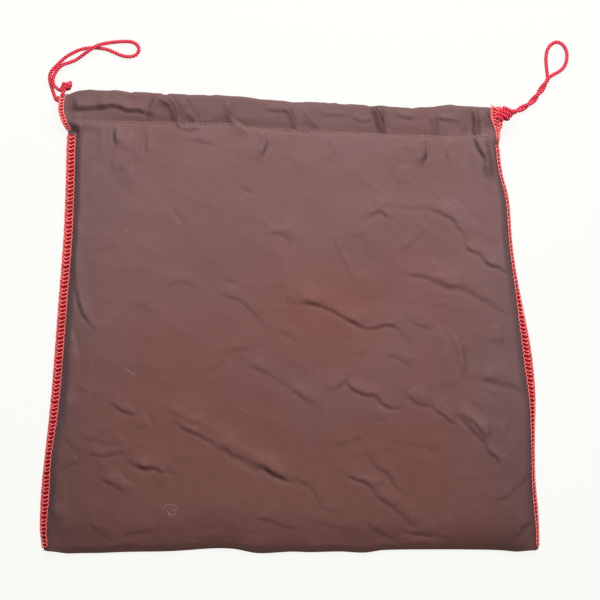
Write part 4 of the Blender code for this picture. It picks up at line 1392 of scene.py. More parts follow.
@dataclass
class Cords:
    """The loops outside the bag and their knots, in mm."""

    shape: BagShape
    twist: Twist = Twist()
    left_route: tuple = (
        (-2.5, 16.2, 4.3), (-4.2, 17.3, 3.5), (-5.7, 20.3, 2.3), (-7.4, 25.0, 1.6), (-9.1, 30.6, 1.55),
        (-9.5, 34.5, 1.55), (-8.4, 38.4, 1.55), (-5.3, 42.1, 1.55), (-1.5, 45.9, 1.55),
        (2.6, 49.5, 1.55), (7.6, 52.5, 1.55), (12.5, 54.8, 1.55), (18.8, 56.3, 1.55),
        (24.1, 56.5, 1.55), (29.3, 56.1, 1.55), (33.9, 55.2, 1.55), (38.6, 53.3, 1.55),
        (43.7, 51.1, 1.55), (48.0, 50.0, 1.55), (52.1, 50.0, 1.55), (55.8, 51.5, 1.55),
        (57.7, 54.9, 1.55), (56.7, 58.2, 1.55), (53.6, 60.5, 1.55), (49.6, 61.3, 1.55),
        (43.7, 61.2, 1.55), (37.4, 60.6, 1.7), (32.2, 59.5, 2.9), (27.9, 58.1, 4.4),
        (23.5, 55.9, 4.9), (18.6, 52.8, 3.8), (14.0, 49.8, 2.4), (10.1, 47.2, 2.1),
        (5.9, 45.3, 2.9), (1.7, 43.7, 4.0), (-1.9, 41.2, 4.2), (-4.5, 37.9, 4.0),
        (-6.2, 34.2, 4.0), (-6.5, 30.6, 4.0), (-5.6, 27.8, 4.1), (-3.7, 25.9, 4.4),
    )
    right_pair: tuple = (
        (9.0, 18.0, 6.0), (12.0, 18.9, 4.4), (15.6, 20.5, 3.5), (19.4, 22.6, 3.1), (23.1, 25.0, 3.0),
        (26.6, 28.4, 3.0), (29.9, 32.6, 3.0), (32.9, 36.9, 3.1), (35.4, 40.7, 3.2),
    )
    right_eye: tuple = (
        (37.0, 44.5, 1.7), (36.7, 49.0, 1.55), (36.1, 54.3, 1.55), (35.9, 59.8, 1.55), (36.8, 65.4, 1.55),
        (39.6, 69.7, 1.55), (43.9, 71.7, 1.55), (48.4, 69.7, 1.55), (51.2, 64.9, 1.55), (51.5, 58.9, 1.55),
        (49.6, 53.3, 1.7), (45.6, 49.3, 2.6), (40.8, 46.7, 4.1), (37.6, 44.2, 4.8),
    )
    pair_lay: float = 21.0
    pair_radius: float = 1.1
    left_knot: Knot = Knot((3.9, 26.6, 7.4), -22.0, 3.0, 3.0, 2.6, 2.3, 0.35, 5.6)
    right_knot: Knot = Knot((3.4, 16.2, 11.6), -36.0, 3.6, 4.9, 4.1, 3.0, 0.25, 0.4)
    left_ends: tuple = (((0.6, 15.6, 8.2),), ((-1.2, 24.2, 5.4), (1.6, 24.4, 6.6), (3.6, 26.0, 7.2)))
    right_ends: tuple = (((5.4, 17.6, 10.6),), ((5.4, 16.0, 10.6),))

    def corner(self, side: int) -> Array:
        """The casing's end at the stitch line, on the floor."""
        a = 0.0 if side < 0 else 1.0
        return np.array([self.shape.casing_end_x(side), float(self.shape.stitch_y(np.array([a]))[0]), 0])

    def wound_pair(self) -> tuple[Array, Array]:
        """The two strands that wind round each other between the right knot and its eye.

        Returns:
            The strand that leaves the knot and the one that comes back to it.
        """
        line = smooth_route(np.array(self.right_pair), 1.2)
        run = run_along(line)
        way = frames_along(line)[0]
        flat = np.stack([-way[:, 1], way[:, 0], 0 * run], axis=1)
        angle = -math.pi / 2 - 2 * math.pi * (run[-1] - run) / self.pair_lay
        off = flat * np.cos(angle)[:, None] + UP * np.sin(angle)[:, None]
        return line + self.pair_radius * off, line - self.pair_radius * off

    def build_loop(self, name: str, side: int, finish: Material) -> None:
        """One loop of cord.

        Args:
            name: The loop's name.
            side: -1 for the left, 1 for the right.
            finish: The cord's material.
        """
        first, last = self.left_ends if side < 0 else self.right_ends
        if side < 0:
            middle = self.left_route
        else:
            out, back = self.wound_pair()
            middle = np.concatenate([out, self.right_eye, back[::-1]])
        route = np.concatenate([first, middle, last]) + self.corner(side)
        path = smooth_route(route, self.twist.step)
        skin = Skin()
        self.twist.sweep(skin, path)
        loop = skin.build(name, finish, Slot.CORD)
        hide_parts(word(side) + "_loop")

    def build_knot(self, name: str, side: int, finish: Material) -> bpy.types.Object:
        """One tied knot: turns of the cord round its own middle.

        Args:
            name: The knot's name.
            side: -1 for the left, 1 for the right.
            finish: The cord's material.

        Returns:
            The knot.
        """
        tied = self.left_knot if side < 0 else self.right_knot
        centre = np.array(tied.place) + self.corner(side)
        lean = math.radians(tied.lean)
        axis = np.array([-math.sin(lean), math.cos(lean), 0])
        flat = np.array([math.cos(lean), math.sin(lean), 0])
        t = np.linspace(0, 1, 150)
        angle = 2 * math.pi * tied.turns * t + tied.start
        tuck = tied.tucked + (1 - tied.tucked) * smooth(np.minimum(t, 1 - t) / tied.tuck_share)
        ring = flat * np.cos(angle)[:, None] * tied.wide + UP * np.sin(angle)[:, None] * tied.high
        along = (t * 2 - 1) * tied.half_length + tied.slope * tied.wide * np.cos(angle)
        wrap = centre + axis * along[:, None] + ring * tuck[:, None]
        skin = Skin()
        self.twist.sweep(skin, smooth_route(wrap, self.twist.step))
        reach = np.linspace(-tied.half_length - tied.tail, tied.half_length + tied.overhang, 12)
        lift = tied.core_lift * smooth(-reach / tied.core_reach)
        core = centre + axis * reach[:, None] + UP * lift[:, None]
        self.twist.sweep(skin, smooth_route(core, self.twist.step))
        knot = skin.build(name, finish, Slot.CORD)
        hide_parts(word(side) + "_knot")
        return knot

    def build(self, finishes: Finishes) -> None:
        """Both loops, both knots, and the finish of the cords inside the casings.

        Args:
            finishes: Every finish.
        """
        for side in (-1, 1):
            knot = self.build_knot(word(side) + "_tied_knot", side, finishes.cord)
            self.build_loop(word(side) + "_cord_loop", side, finishes.cord)
            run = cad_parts[word(side) + "_drawstring_run"]
            run.data.materials.clear()
            run.data.materials.append(finishes.hidden)


@dataclass
class Cloth:
    """The bag's one cloth, in mm: fine on the front, plainer on the back and inside."""

    shape: BagShape
    front_columns: int = 266
    back_columns: int = 118
    inner_columns: int = 60
    front_step: float = 1.34
    back_step: float = 3.2
    inner_step: float = 6.0
    inner_gap: float = 2.4
    inner_margin: float = 12.0
    inner_wall_gap: float = 0.25
    hem_length: float = 22.0
    fold_length: float = 6.3
    wall_length: float = 20.0
    bend_length: float = 4.0
    sheet_casing: float = 48.3
    sheet_taper: float = 0.93
    lip_keys: Pair = (-0.03, -0.015)

    def __post_init__(self) -> None:
        """Start without rows."""
        self.points: list[Array] = []
        self.rows: list[tuple[Array, Array, float]] = []
        self.count = 0
        self.run = 0.0

    @staticmethod
    def shares(columns: int) -> Array:
        """Shares of the width for a number of columns."""
        return np.linspace(0, 1, columns + 1)

    def heights(self, a: Array, front: bool, fractions: tuple[float, ...]) -> Array:
        """Heights above the stitch line up to where the top fold starts.

        Args:
            a: Shares of the width.
            front: Whether it is the front one.
            fractions: Shares of the whole height.

        Returns:
            One row for each fraction, with a height for each column.
        """
        panel = self.shape.front_panel if front else self.shape.back_panel
        x = panel(a, np.array([1.0]), False)[0][0][:, 0]
        keys = np.concatenate([[0, 0], a, [1, 1]])
        top = self.shape.casing_depth(keys, x) - self.shape.fold_radius
        return np.array(fractions)[:, None] * top[None, :]

    def take(self, rows: Array, a: Array, advance: float) -> None:
        """Add rows of one face.

        Args:
            rows: Points, rows by columns.
            a: Shares of the width of the columns between the strips inside the overlock.
            advance: How far along the cloth the rows go in all.
        """
        low, high = self.lip_keys
        keys = np.concatenate([[low, high], a, [1 - high, 1 - low]])
        for k, row in enumerate(rows):
            index = np.arange(self.count, self.count + len(row))
            self.rows.append((index, keys, self.run + advance * k / max(len(rows) - 1, 1)))
            self.points.append(row)
            self.count += len(row)
        self.run += advance

    def casing_fold(self, a: Array, front: bool, degrees: tuple[float, ...], face: float,
                    detail: bool) -> Array:
        """The fold over the casing's top, on one face of the cloth.

        Args:
            a: Shares of the width.
            front: Whether it is the front one.
            degrees: Angles from the outer wall.
            face: 1 for the outer face, -1 for the inner.
            detail: Whether gathers are added.

        Returns:
            One row of points for each angle.
        """
        top = self.heights(a, front, (1.0,))
        outer = self.shape.outer_wall(a, top, front, detail)[0]
        inner = self.shape.inner_wall(a, top, front)[0]
        middle, reach = (outer + inner) / 2, (outer - inner) / 2
        size = np.linalg.norm(reach, axis=1)[:, None]
        scale = (size + face * self.shape.cloth / 2) / size
        rise = np.array([[0, 1, 0]]) * (self.shape.fold_radius + face * self.shape.cloth / 2)
        return np.stack([middle + reach * scale * math.cos(angle) + rise * math.sin(angle)
                         for angle in np.radians(degrees)])

    def bottom_fold(self, a: Array, degrees: tuple[float, ...], face: float) -> Array:
        """The fold at the bottom, from the front panel down to the back one.

        Args:
            a: Shares of the width.
            degrees: Angles from the front panel.
            face: 1 for the outer face, -1 for the inner.

        Returns:
            One row of points for each angle.
        """
        front = self.shape.front_panel(a, np.array([0.0]), False)[0][0]
        back = self.shape.back_panel(a, np.array([0.0]), False)[0][0]
        middle, reach = (front + back) / 2, (front - back) / 2
        size = np.linalg.norm(reach, axis=1)[:, None]
        grown = size + face * self.shape.cloth / 2
        out = np.array([[0, 1, 0]]) * grown
        return np.stack([middle + reach * grown / size * math.cos(angle) - out * math.sin(angle)
                         for angle in np.radians(degrees)])

    def face(self, outer: bool) -> None:
        """Add the rows of the cloth's outer or inner face, from the front hem to the back hem.

        Args:
            outer: Whether it is the outer face, which carries the detail.
        """
        shape = self.shape
        side = 1.0 if outer else -1.0
        half = shape.cloth / 2
        hem = self.shares(self.inner_columns)
        fine = self.shares(self.front_columns) if outer else hem
        plain = self.shares(self.back_columns) if outer else hem
        lift = np.array([0, 0, half])
        sunk = np.array([0, 0, 0.0 if outer else self.inner_wall_gap])
        walls = (0.0, 0.18, 0.36, 0.6, 0.8)
        turned = np.full((1, len(hem) + 4), -shape.hem_turn)
        hem_rows = np.concatenate([turned, self.heights(hem, True, walls)])
        self.take(shape.inner_wall(hem, hem_rows, True) - side * lift, hem, self.hem_length)
        turn = (180, 155, 130, 105, 80, 60, 40, 20, 0) if outer else (180, 120, 60, 0)
        self.take(self.casing_fold(fine, True, turn, side, outer), fine, self.fold_length)
        steps = 14 if outer else 4
        fractions = tuple(1 - k / steps for k in range(1, steps))
        wall = shape.outer_wall(fine, self.heights(fine, True, fractions), True, outer)
        self.take(wall + side * lift - sunk, fine, self.wall_length)
        step = self.front_step if outer else self.inner_step
        share = np.linspace(1, 0, round(shape.panel_height / step) + 1)
        panel, up = shape.front_panel(fine, share, outer)
        gap = np.zeros(panel.shape[:2])
        if not outer:
            beside = np.minimum(fine, 1 - fine)[None, :] * shape.bottom_width / self.inner_margin
            below = np.minimum(share, 1 - share)[:, None] * shape.panel_height / self.inner_margin
            gap[:, 2:-2] = self.inner_gap * smooth(beside) * smooth(below)
        panel[:, :, 2] -= gap
        self.take(panel + side * up * half, fine, shape.panel_height)
        bend = (30, 60, 90, 120, 150) if outer else (60, 120)
        self.take(self.bottom_fold(fine, bend, side), fine, self.bend_length)
        step = self.back_step if outer else self.inner_step
        share = np.linspace(0, 1, round(shape.panel_height / step) + 1)
        panel, up = shape.back_panel(plain, share, outer)
        self.take(panel - side * up * half, plain, shape.panel_height)
        steps = 7 if outer else 4
        fractions = tuple(k / steps for k in range(1, steps))
        wall = shape.outer_wall(plain, self.heights(plain, False, fractions), False, outer)
        self.take(wall - side * lift, plain, self.wall_length)
        self.take(self.casing_fold(plain, False, turn[::-1], side, outer), plain, self.fold_length)
        hem_rows = np.concatenate([self.heights(hem, False, walls)[::-1], turned])
        self.take(shape.inner_wall(hem, hem_rows, False) + side * lift, hem, self.hem_length)

    @staticmethod
    def zipped(low: Array, low_keys: Array, high: Array,
               high_keys: Array) -> Faces:
        """Faces between two lines of points that may be spaced differently.

        Args:
            low: Point numbers of one line.
            low_keys: Their places along it.
            high: Point numbers of the other line.
            high_keys: Their places along it.

        Returns:
            The faces.
        """
        if len(low) == len(high) and np.allclose(low_keys, high_keys):
            return [(low[i], low[i + 1], high[i + 1], high[i]) for i in range(len(low) - 1)]
        faces, i, j = [], 0, 0
        while i < len(low) - 1 or j < len(high) - 1:
            if i < len(low) - 1 and (j == len(high) - 1 or low_keys[i + 1] <= high_keys[j + 1]):
                faces.append((low[i], low[i + 1], high[j]))
                i += 1
            else:
                faces.append((low[i], high[j + 1], high[j]))
                j += 1
        return faces

    def build(self, finish: Material) -> bpy.types.Object:
        """Make the cloth.

        Args:
            finish: Its material.

        Returns:
            The cloth.
        """
        self.face(True)
        outer = list(self.rows)
        self.rows, self.run = [], 0.0
        self.face(False)
        inner = list(self.rows)
        ring = outer + inner[::-1]
        faces = []
        for (low, low_keys, _), (high, high_keys, _) in zip(ring, ring[1:] + ring[:1]):
            faces += self.zipped(low.tolist(), low_keys, high.tolist(), high_keys)
        for end in (0, -1):
            outer_end = [int(index[end]) for index, _, _ in outer]
            inner_end = [int(index[end]) for index, _, _ in inner]
            outer_run = np.array([run for _, _, run in outer])
            inner_run = np.array([run for _, _, run in inner])
            faces += self.zipped(outer_end, outer_run, inner_end, inner_run)
        points = np.concatenate(self.points)
        places = np.concatenate([np.stack([keys * self.shape.bottom_width, np.full(len(keys), run)], axis=1)
                                 for _, keys, run in outer + inner]) * MM
        skin = Skin()
        skin.add(points, faces, self.slant(points, outer + inner), places)
        cloth = skin.build("bag_sheet", finish, Slot.CLOTH)
        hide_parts("bag_cloth")
        return cloth

    @staticmethod
    def slant(points: Array, rows: list) -> Array:
        """How far the cloth leans from level across the bag, 0 to 1, for the painted sheen and painted shade
        in its colour.

        Args:
            points: The cloth's points.
            rows: Its rows, each with its point numbers first.

        Returns:
            A value for each point.
        """
        marks = np.zeros(len(points))
        for index, _, _ in rows:
            line = points[index]
            rise = np.abs(np.gradient(line[:, 2])) / np.maximum(np.abs(np.gradient(line[:, 0])), 0.2)
            soft = np.convolve(np.pad(rise, 1, mode="edge"), np.ones(3) / 3, "valid")
            marks[index] = np.clip(soft, 0, 1)
        return marks


@dataclass
class Overlock:
    """Looping threads round a cut edge, in mm.

    The strands are given as shares of the half width, 1 at the cut edge, and places in pitches.
    """

    pitch: float = 3.0
    radius: float = 0.34
    step: float = 0.6
    rung: Line = ((0.96, -0.06), (0.5, 0.06), (0.0, 0.2), (-0.45, 0.36), (-0.8, 0.56))
    branch: Line = ((0.05, 0.2), (0.35, 0.42), (0.7, 0.66), (0.95, 0.86))
    scallop: Line = ((-0.72, 0.5), (-0.95, 0.72), (-1.0, 1.0), (-0.92, 1.28))
    rim: Line = ((0.97, 0.0), (0.9, 0.5))
    sides: int = 5
    chain_radius: float = 0.95
    lowest: float = 1.2
    edge_start: float = 0.6
    edge_drop: float = 0.5
    unevenness: Pair = (0.15, 1.7)
    bed: Line = (
        (0.93, 0.25), (0.5, 1.0), (-0.8, 0.8), (-0.8, -0.8), (0.5, -1.0), (0.93, -0.25))
    bed_inset: float = 0.3
    bed_thickness: float = 0.02
    bed_lowest: float = 0.1

    def threads(self, skin: Skin, frames: tuple[Array, Array, Array], half: Array | float,
                slot: float) -> None:
        """Add the strands of both faces, and the bed between them: partly the thread beneath, partly painted
        shade in the gaps between loops.

        Args:
            skin: What they are added to.
            frames: Middles, width directions and normals along the edge.
            half: Half the seam's width, one number or one for each middle.
            slot: Half the room that the cloth has inside.
        """
        middle, across, normal = frames
        run = run_along(middle)
        halves = np.broadcast_to(half, run.shape)
        count = max(2, int(run[-1] / self.pitch))
        spare = run[-1] - count * self.pitch
        ends = (middle[-1] - middle[0]) / np.linalg.norm(middle[-1] - middle[0])

        def place(at: Array, w: Array, n: Array) -> Array:
            """Points of the strands.

            Args:
                at: Runs along the edge.
                w: Shares of the half width.
                n: Heights over the middle of the cloth.

            Returns:
                The points, one row each.
            """
            found = [np.stack([np.interp(at, run, part[:, k]) for k in range(3)], axis=1)
                     for part in (middle, across, normal)]
            beyond = (at - np.clip(at, 0, run[-1]))[:, None] * ends
            w = w * np.interp(at, run, halves)
            return found[0] + beyond + found[1] * w[:, None] + found[2] * n[:, None]

        def lay(strand: Array, face: float, thick: float) -> None:
            """Add one strand over a face.

            Args:
                strand: Its shares of the half width and its runs along the edge.
                face: 1 for the upper face, -1 for the lower.
                thick: The thread's radius.
            """
            edge = np.clip((strand[:, 0] - self.edge_start) / (1 - self.edge_start), 0, 1)
            n = face * (slot + self.radius) * (1 - self.edge_drop * edge ** 2)
            path = smooth_route(place(strand[:, 1], strand[:, 0], n), self.step)
            path[:, 2] = np.maximum(path[:, 2], self.lowest * self.radius)
            uneven, cell = self.unevenness
            radii = thick * (1 + uneven * value_noise(path[:, 1], path[:, 0], cell, 4))
            points, faces = tube(path, radii, self.sides)
            skin.add(points, faces, np.zeros(len(points)), self.tube_places(len(path), self.sides))

        for face in (1.0, -1.0):
            starts = [spare / 2 + (k + (0.0 if face > 0 else 0.5) + 0.07 * math.sin(k * 2.4)
                                   + 0.05 * math.sin(k * 1.3 + 2)) * self.pitch for k in range(count)]
            for start in starts:
                for strand in (self.rung, self.branch):
                    lay(np.array(strand) * (1, self.pitch) + (0, start), face, self.radius)
            for chain in (self.scallop, self.rim):
                strands = [np.array(chain) * (1 + 0.04 * math.sin(k * 1.9), self.pitch) + (0, start)
                           for k, start in enumerate(starts)]
                whole = np.concatenate(strands)
                whole = whole[np.argsort(whole[:, 1])]
                lay(whole, face, self.radius * self.chain_radius)
        # The bed, marked for the deep red: partly the thread beneath, partly painted shade in the gaps
        # between loops.
        steps = count * 2
        inset, thick, around = spare / 2 + self.bed_inset, slot + self.bed_thickness, len(self.bed)
        at = np.linspace(inset, run[-1] - inset, steps)
        lines = [place(at, np.full(steps, w), np.full(steps, n * thick)) for w, n in self.bed]
        bed = np.stack(lines, axis=1).reshape(-1, 3)
        bed[:, 2] = np.maximum(bed[:, 2], self.bed_lowest)
        skin.add(bed, tube_faces(steps, around), np.ones(len(bed)), self.tube_places(steps, around))

    @staticmethod
    def tube_places(rings: int, sides: int) -> Array:
        """Places along and around a tube, in metres."""
        along, around = np.meshgrid(np.arange(rings) * 0.42, np.arange(sides) * 0.35, indexing="ij")
        return np.stack([along, around], axis=2).reshape(-1, 2) * MM


@dataclass
class Seams:
    """The overlock of the two sides and of the casings' ends, in mm."""

    shape: BagShape
    overlock: Overlock = field(default_factory=Overlock)
    ear: tuple[Triple, ...] = (
        (-7.0, -1.0, 1.4), (0.2, -1.9, 1.5), (2.5, -1.9, 1.7), (6.5, -1.6, 3.1), (10.3, -2.1, 4.2),
        (12.1, -2.6, 4.6), (17.0, -2.8, 4.5), (20.8, -2.9, 4.4), (23.0, -3.2, 3.5), (24.4, -3.6, 2.2))
    samples: int = 260
    spread: float = 0.3
    right_longer: float = 1.0
    end_pitch: float = 2.3
    end_radius: float = 0.33
    end_samples: int = 60
    end_columns: int = 181
    end_inset: float = 0.15
    below_stitches: float = -7.0
    left_short: float = -0.6
    right_short: float = -0.8
    left_front_wider: float = 0.8
    left_shift: float = 0.4
    ear_below: float = -9.0
    ear_above: float = 3.2
    ear_rise: float = 6.0
    ear_tilt: float = 0.16
    ear_lift: float = 1.0
    ear_rung: Line = ((0.96, -0.7), (0.5, -0.3), (0.0, 0.2), (-0.45, 0.66), (-0.8, 1.0))

    def build_side(self, side: int, finish: Material) -> None:
        """The overlock of one side.

        Args:
            side: -1 for the left, 1 for the right.
            finish: The thread's material.
        """
        shape = self.shape
        short = shape.clearance if side < 0 else -self.right_longer
        share = np.linspace(0.002, 1 - (shape.seam_end + short) / shape.panel_height, self.samples)
        skin = Skin()
        half = shape.seam_width / 2 + self.spread
        self.overlock.threads(skin, shape.seam_frame(side, share), half, shape.seam_slot)
        seam = skin.build(word(side) + "_seam_threads", finish, Slot.THREAD)
        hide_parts(word(side) + "_seam_overlock")

    def build_end(self, side: int, front: bool, finish: Material) -> None:
        """The overlock of one end of a casing.

        Args:
            side: -1 for the left, 1 for the right.
            front: Whether it is the front casing.
            finish: The thread's material.
        """
        shape = self.shape
        ear = front and side > 0
        end = self.left_short if side < 0 else self.right_short
        top = shape.depth + end - shape.fold_radius - shape.clearance + (self.ear_above if ear else 0)
        heights = np.linspace(self.ear_below if ear else self.below_stitches, top, self.end_samples)
        a = np.linspace(0, 1, self.end_columns)
        line = shape.outer_wall(a, heights[:, None] + np.zeros((1, len(a) + 4)), front, False)
        cut = line[:, 0 if side < 0 else -1]
        below = heights < 0
        cut[below] = shape.side_edge(side, 1 + heights[below] / shape.panel_height, front)[0]
        cut[:, 2] = np.maximum(cut[:, 2], shape.edge_rest)
        width = np.full(len(cut), shape.edge_width + (self.left_front_wider if front and side < 0 else 0))
        tilt = self.ear_tilt if ear else 0.0
        across = np.tile([side * math.cos(tilt), 0, -math.sin(tilt)], (len(cut), 1))
        normal = np.tile([math.sin(tilt), 0, math.cos(tilt)], (len(cut), 1))
        middle = cut + np.array([side * (shape.thread + shape.clearance - shape.edge_width / 2), 0, 0])
        if side < 0:
            middle[:, 0] += self.left_shift
        if ear:
            levels, middles, halves = zip(*self.ear)
            middle[:, 0] = cut[:, 0] + np.interp(heights, levels, middles)
            width = 2 * np.interp(heights, levels, halves)
            middle[:, 2] += self.ear_lift * smooth(heights / self.ear_rise)
        skin = Skin()
        rung = self.ear_rung if ear else Overlock.rung
        overlock = Overlock(pitch=self.end_pitch, radius=self.end_radius, rung=rung)
        overlock.threads(skin, (middle, across, normal), width / 2 - self.end_inset,
                         shape.cloth / 2 + shape.clearance)
        name = word(side) + "_casing_edge_" + ("front" if front else "back")
        edge = skin.build(name + "_threads", finish, Slot.THREAD)
        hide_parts(name)

    def build(self, finish: Material) -> None:
        """All of the overlock.

        Args:
            finish: The thread's material.
        """
        for side in (-1, 1):
            self.build_side(side, finish)
            self.build_end(side, True, finish)
            self.build_end(side, False, finish)


@dataclass
class Topstitching:
    """The row of stitches that holds each casing, in mm."""

    shape: BagShape
    pitch: float = 3.1
    length: float = 1.75
    radius: float = 0.33
    start_inset: float = 20.0
    end_inset: float = 6.0
    waviness: float = 0.5
    wave_cell: float = 15.0
    places: tuple[float, ...] = (-0.5, -0.34, 0.0, 0.34, 0.5)
    rises: tuple[float, ...] = (-0.12, 0.1, 0.16, 0.1, -0.12)
    widths: tuple[float, ...] = (0.6, 1, 1.05, 1, 0.6)
    floor_gap: float = 0.03

    def build_row(self, front: bool, finish: Material) -> None:
        """One row of stitches.

        Args:
            front: Whether it is on the front.
            finish: The thread's material.
        """
        shape = self.shape
        start = shape.casing_end_x(-1) + self.start_inset
        end = shape.casing_end_x(1) - self.end_inset
        a = np.linspace(0, 1, 700)
        panel = (shape.front_panel if front else shape.back_panel)(a, np.array([1.0]), True)[0][0][2:-2]
        skin = Skin()
        rng = np.random.default_rng(17 if front else 18)
        face = 1.0 if front else -1.0
        for k in range(int((end - start) / self.pitch)):
            x = start + k * self.pitch + rng.uniform(-0.15, 0.15)
            long = self.length * rng.uniform(0.85, 1.1)
            at = x + long * np.array(self.places)
            y = np.interp(at, panel[:, 0], panel[:, 1]) + rng.uniform(-0.12, 0.12)
            y = y + self.waviness * value_noise(at, 0 * at, self.wave_cell, 71)
            z = np.interp(at, panel[:, 0], panel[:, 2]) + face * (shape.cloth / 2)
            z = z + face * np.array(self.rises)
            if not front:
                z = np.maximum(z, self.radius + self.floor_gap)
            points, faces = tube(np.stack([at, y, z], axis=1), self.radius * np.array(self.widths), 6)
            skin.add(points, faces)
        skin.build("front_topstitching" if front else "back_topstitching", finish, Slot.CLOTH)

    def build(self, finish: Material) -> None:
        """Both rows."""
        self.build_row(True, finish)
        self.build_row(False, finish)


@dataclass
class Lint:
    """Specks, fibres and a hair that lie on the front, in mm."""

    shape: BagShape
    specks: tuple[Triple, ...] = (
        (108.6, 43.7, 0.75), (52.8, 24.8, 0.5), (132.3, 24.3, 0.5), (96.8, -8.7, 0.5), (123.4, 85.7, 0.45),
        (-46.8, -30.1, 0.45), (-15.4, 106.0, 0.5), (-127.1, -146.0, 0.5), (-96.6, -74.0, 0.45),
        (134.9, -101.3, 0.5), (91.1, -143.0, 0.6), (82.5, -167.6, 0.4), (33.8, 150.2, 0.45))
    fibres: tuple[Line, ...] = (
        ((-122.4, -33.1), (-119.5, -36.4), (-115.3, -38.9)), ((-122.5, 68.8), (-119.6, 68.6)),
        ((-155.3, 149.1), (-154.9, 145.7)), ((-126.2, 158.9), (-126.0, 155.2)),
        ((144.4, 141.2), (145.5, 139.2)),
        ((-93.5, -137.2), (-89.6, -136.0), (-84.2, -136.6), (-83.4, -139.6), (-87.0, -139.9), (-84.6, -142.6),
         (-89.5, -143.4), (-90.8, -140.4), (-88.2, -146.0)))
    columns: int = 245
    rows: int = 223
    fibre_step: float = 0.6
    fibre_lift: float = 0.12
    fibre_radius: float = 0.10

    def __post_init__(self) -> None:
        """Take the heights of the front cloth."""
        a, share = np.linspace(0, 1, self.columns), np.linspace(0, 1, self.rows)
        self.cloth = self.shape.front_panel(a, share, True)[0][:, 2:-2].reshape(-1, 3)

    def height(self, x: float, y: float) -> float:
        """Top of the front cloth at a place on it."""
        nearest = np.argmin((self.cloth[:, 0] - x) ** 2 + (self.cloth[:, 1] - y) ** 2)
        return float(self.cloth[nearest, 2]) + self.shape.cloth / 2

    def build(self, finish: Material) -> None:
        """All of it, as one piece.

        Args:
            finish: Its material.
        """
        skin = Skin()
        rng = np.random.default_rng(5)
        for x, y, size in self.specks:
            z = self.height(x, y)
            path = np.array([[x - size * 0.6, y, z + 0.05], [x, y + rng.uniform(-0.2, 0.2), z + 0.2],
                             [x + size * 0.6, y + rng.uniform(-0.3, 0.3), z + 0.05]])
            points, faces = tube(path, size * np.array([0.25, 0.55, 0.2]), 6)
            skin.add(points, faces)
        for line in self.fibres:
            route = smooth_route(np.array(line), self.fibre_step)
            path = np.array([(x, y, self.height(x, y) + self.fibre_lift) for x, y in route])
            points, faces = tube(path, np.full(len(path), self.fibre_radius), 5)
            skin.add(points, faces)
        skin.build("lint", finish, Slot.CLOTH)


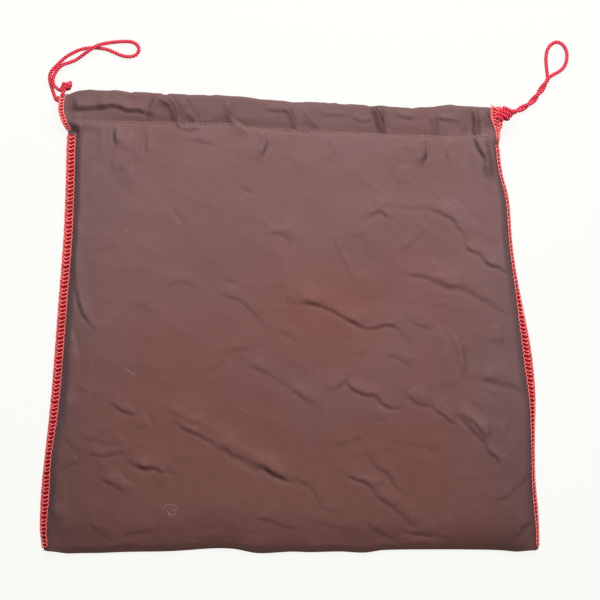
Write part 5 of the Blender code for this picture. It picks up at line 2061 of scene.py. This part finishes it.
@dataclass
class Studio:
    """Floor, lamps and camera, in metres."""

    centre: Pair = (0.0079, 0.0167)
    view_width: float = 0.450
    lens: float = 85.0
    sensor: float = 36.0
    world_strength: float = 0.23
    key_power: float = 10.2
    key_place: Triple = (0.08, 0.52, 0.60)
    key_size: Pair = (0.9, 0.5)
    key_target: Triple = (0, 0.05, 0)
    fill_power: float = 1.2
    fill_place: Triple = (0.1, -0.3, 1.3)
    fill_size: Pair = (1.2, 1.2)
    middle_height: float = 0.006
    floor_colour: Colour = (0.86, 0.86, 0.84)
    seen_colour: Colour = (0.964, 0.964, 0.940)
    seen_share: float = 0.93

    def build_camera(self) -> None:
        """The camera straight above the bag."""
        camera = bpy.data.cameras.new("camera")
        camera.lens, camera.sensor_width = self.lens, self.sensor
        camera.clip_end = 20
        item = bpy.data.objects.new("camera", camera)
        bpy.context.collection.objects.link(item)
        item.location = (*self.centre, self.view_width * self.lens / self.sensor + self.middle_height)
        bpy.context.scene.camera = item

    def build_lamp(self, name: str, place: Triple, target: Triple,
                   size: tuple[float, float], power: float) -> None:
        """One soft lamp aimed at a point.

        Args:
            name: The lamp's name.
            place: Where it stands.
            target: What it is aimed at.
            size: Its two sides.
            power: Its power in watts.
        """
        lamp = bpy.data.lights.new(name, "AREA")
        lamp.shape, lamp.size, lamp.size_y, lamp.energy = "RECTANGLE", *size, power
        item = bpy.data.objects.new(name, lamp)
        bpy.context.collection.objects.link(item)
        item.location = place
        item.rotation_euler = (Vector(target) - Vector(place)).to_track_quat("-Z", "Y").to_euler()

    def build_floor(self) -> None:
        """A pale floor that keeps the bag's shadow and shows white to the camera."""
        bpy.ops.object.select_all(action="DESELECT")
        bpy.ops.mesh.primitive_plane_add(size=12, location=(0, 0, -0.0002))
        floor = bpy.context.active_object
        floor.name = "floor"
        paint = Paint("pale_floor")
        paint.give("Base Color", self.floor_colour)
        paint.give("Roughness", 0.9)
        paint.give("Specular IOR Level", 0.0)
        rays = paint.node("ShaderNodeLightPath", {}, {}, "Is Camera Ray")
        glossy = paint.node("ShaderNodeLightPath", {}, {}, "Is Glossy Ray")
        through = paint.node("ShaderNodeLightPath", {}, {}, "Is Transmission Ray")
        seen = paint.node("ShaderNodeMath", {"operation": "MAXIMUM"}, {0: rays, 1: glossy})
        seen = paint.node("ShaderNodeMath", {"operation": "MAXIMUM"}, {0: seen, 1: through})
        glow = paint.node("ShaderNodeEmission", {}, {"Color": self.seen_colour, "Strength": 1.0})
        plain = Value(paint.tree, paint.shader.outputs[0])
        mixed = paint.node("ShaderNodeMixShader", {}, {0: seen * self.seen_share, 1: plain, 2: glow})
        paint.tree.links.new(mixed.socket, paint.output.inputs[0])
        floor.data.materials.append(paint.material)

    def build(self) -> None:
        """Everything round the bag."""
        scene = bpy.context.scene
        scene.view_settings.view_transform = "Standard"
        self.build_camera()
        self.build_floor()
        self.build_lamp("key", self.key_place, self.key_target, self.key_size, self.key_power)
        self.build_lamp("fill", self.fill_place, (0, 0, 0), self.fill_size, self.fill_power)
        world = bpy.data.worlds.new("room")
        world.use_nodes = True
        light = world.node_tree.nodes["Background"]
        light.inputs["Color"].default_value = (1, 1, 0.99, 1)
        light.inputs["Strength"].default_value = self.world_strength
        scene.world = world


def main() -> None:
    """Build the scene and report each piece."""
    logging.basicConfig(level=logging.INFO, format="%(message)s")
    bpy.ops.object.select_all(action="DESELECT")
    shape = BagShape()
    Studio().build()
    finishes = Finishes()
    Cords(shape).build(finishes)
    Cloth(shape).build(finishes.cloth)
    Seams(shape).build(finishes.thread)
    Topstitching(shape).build(finishes.stitch)
    Lint(shape).build(finishes.lint)


if __name__ == "__main__":
    main()
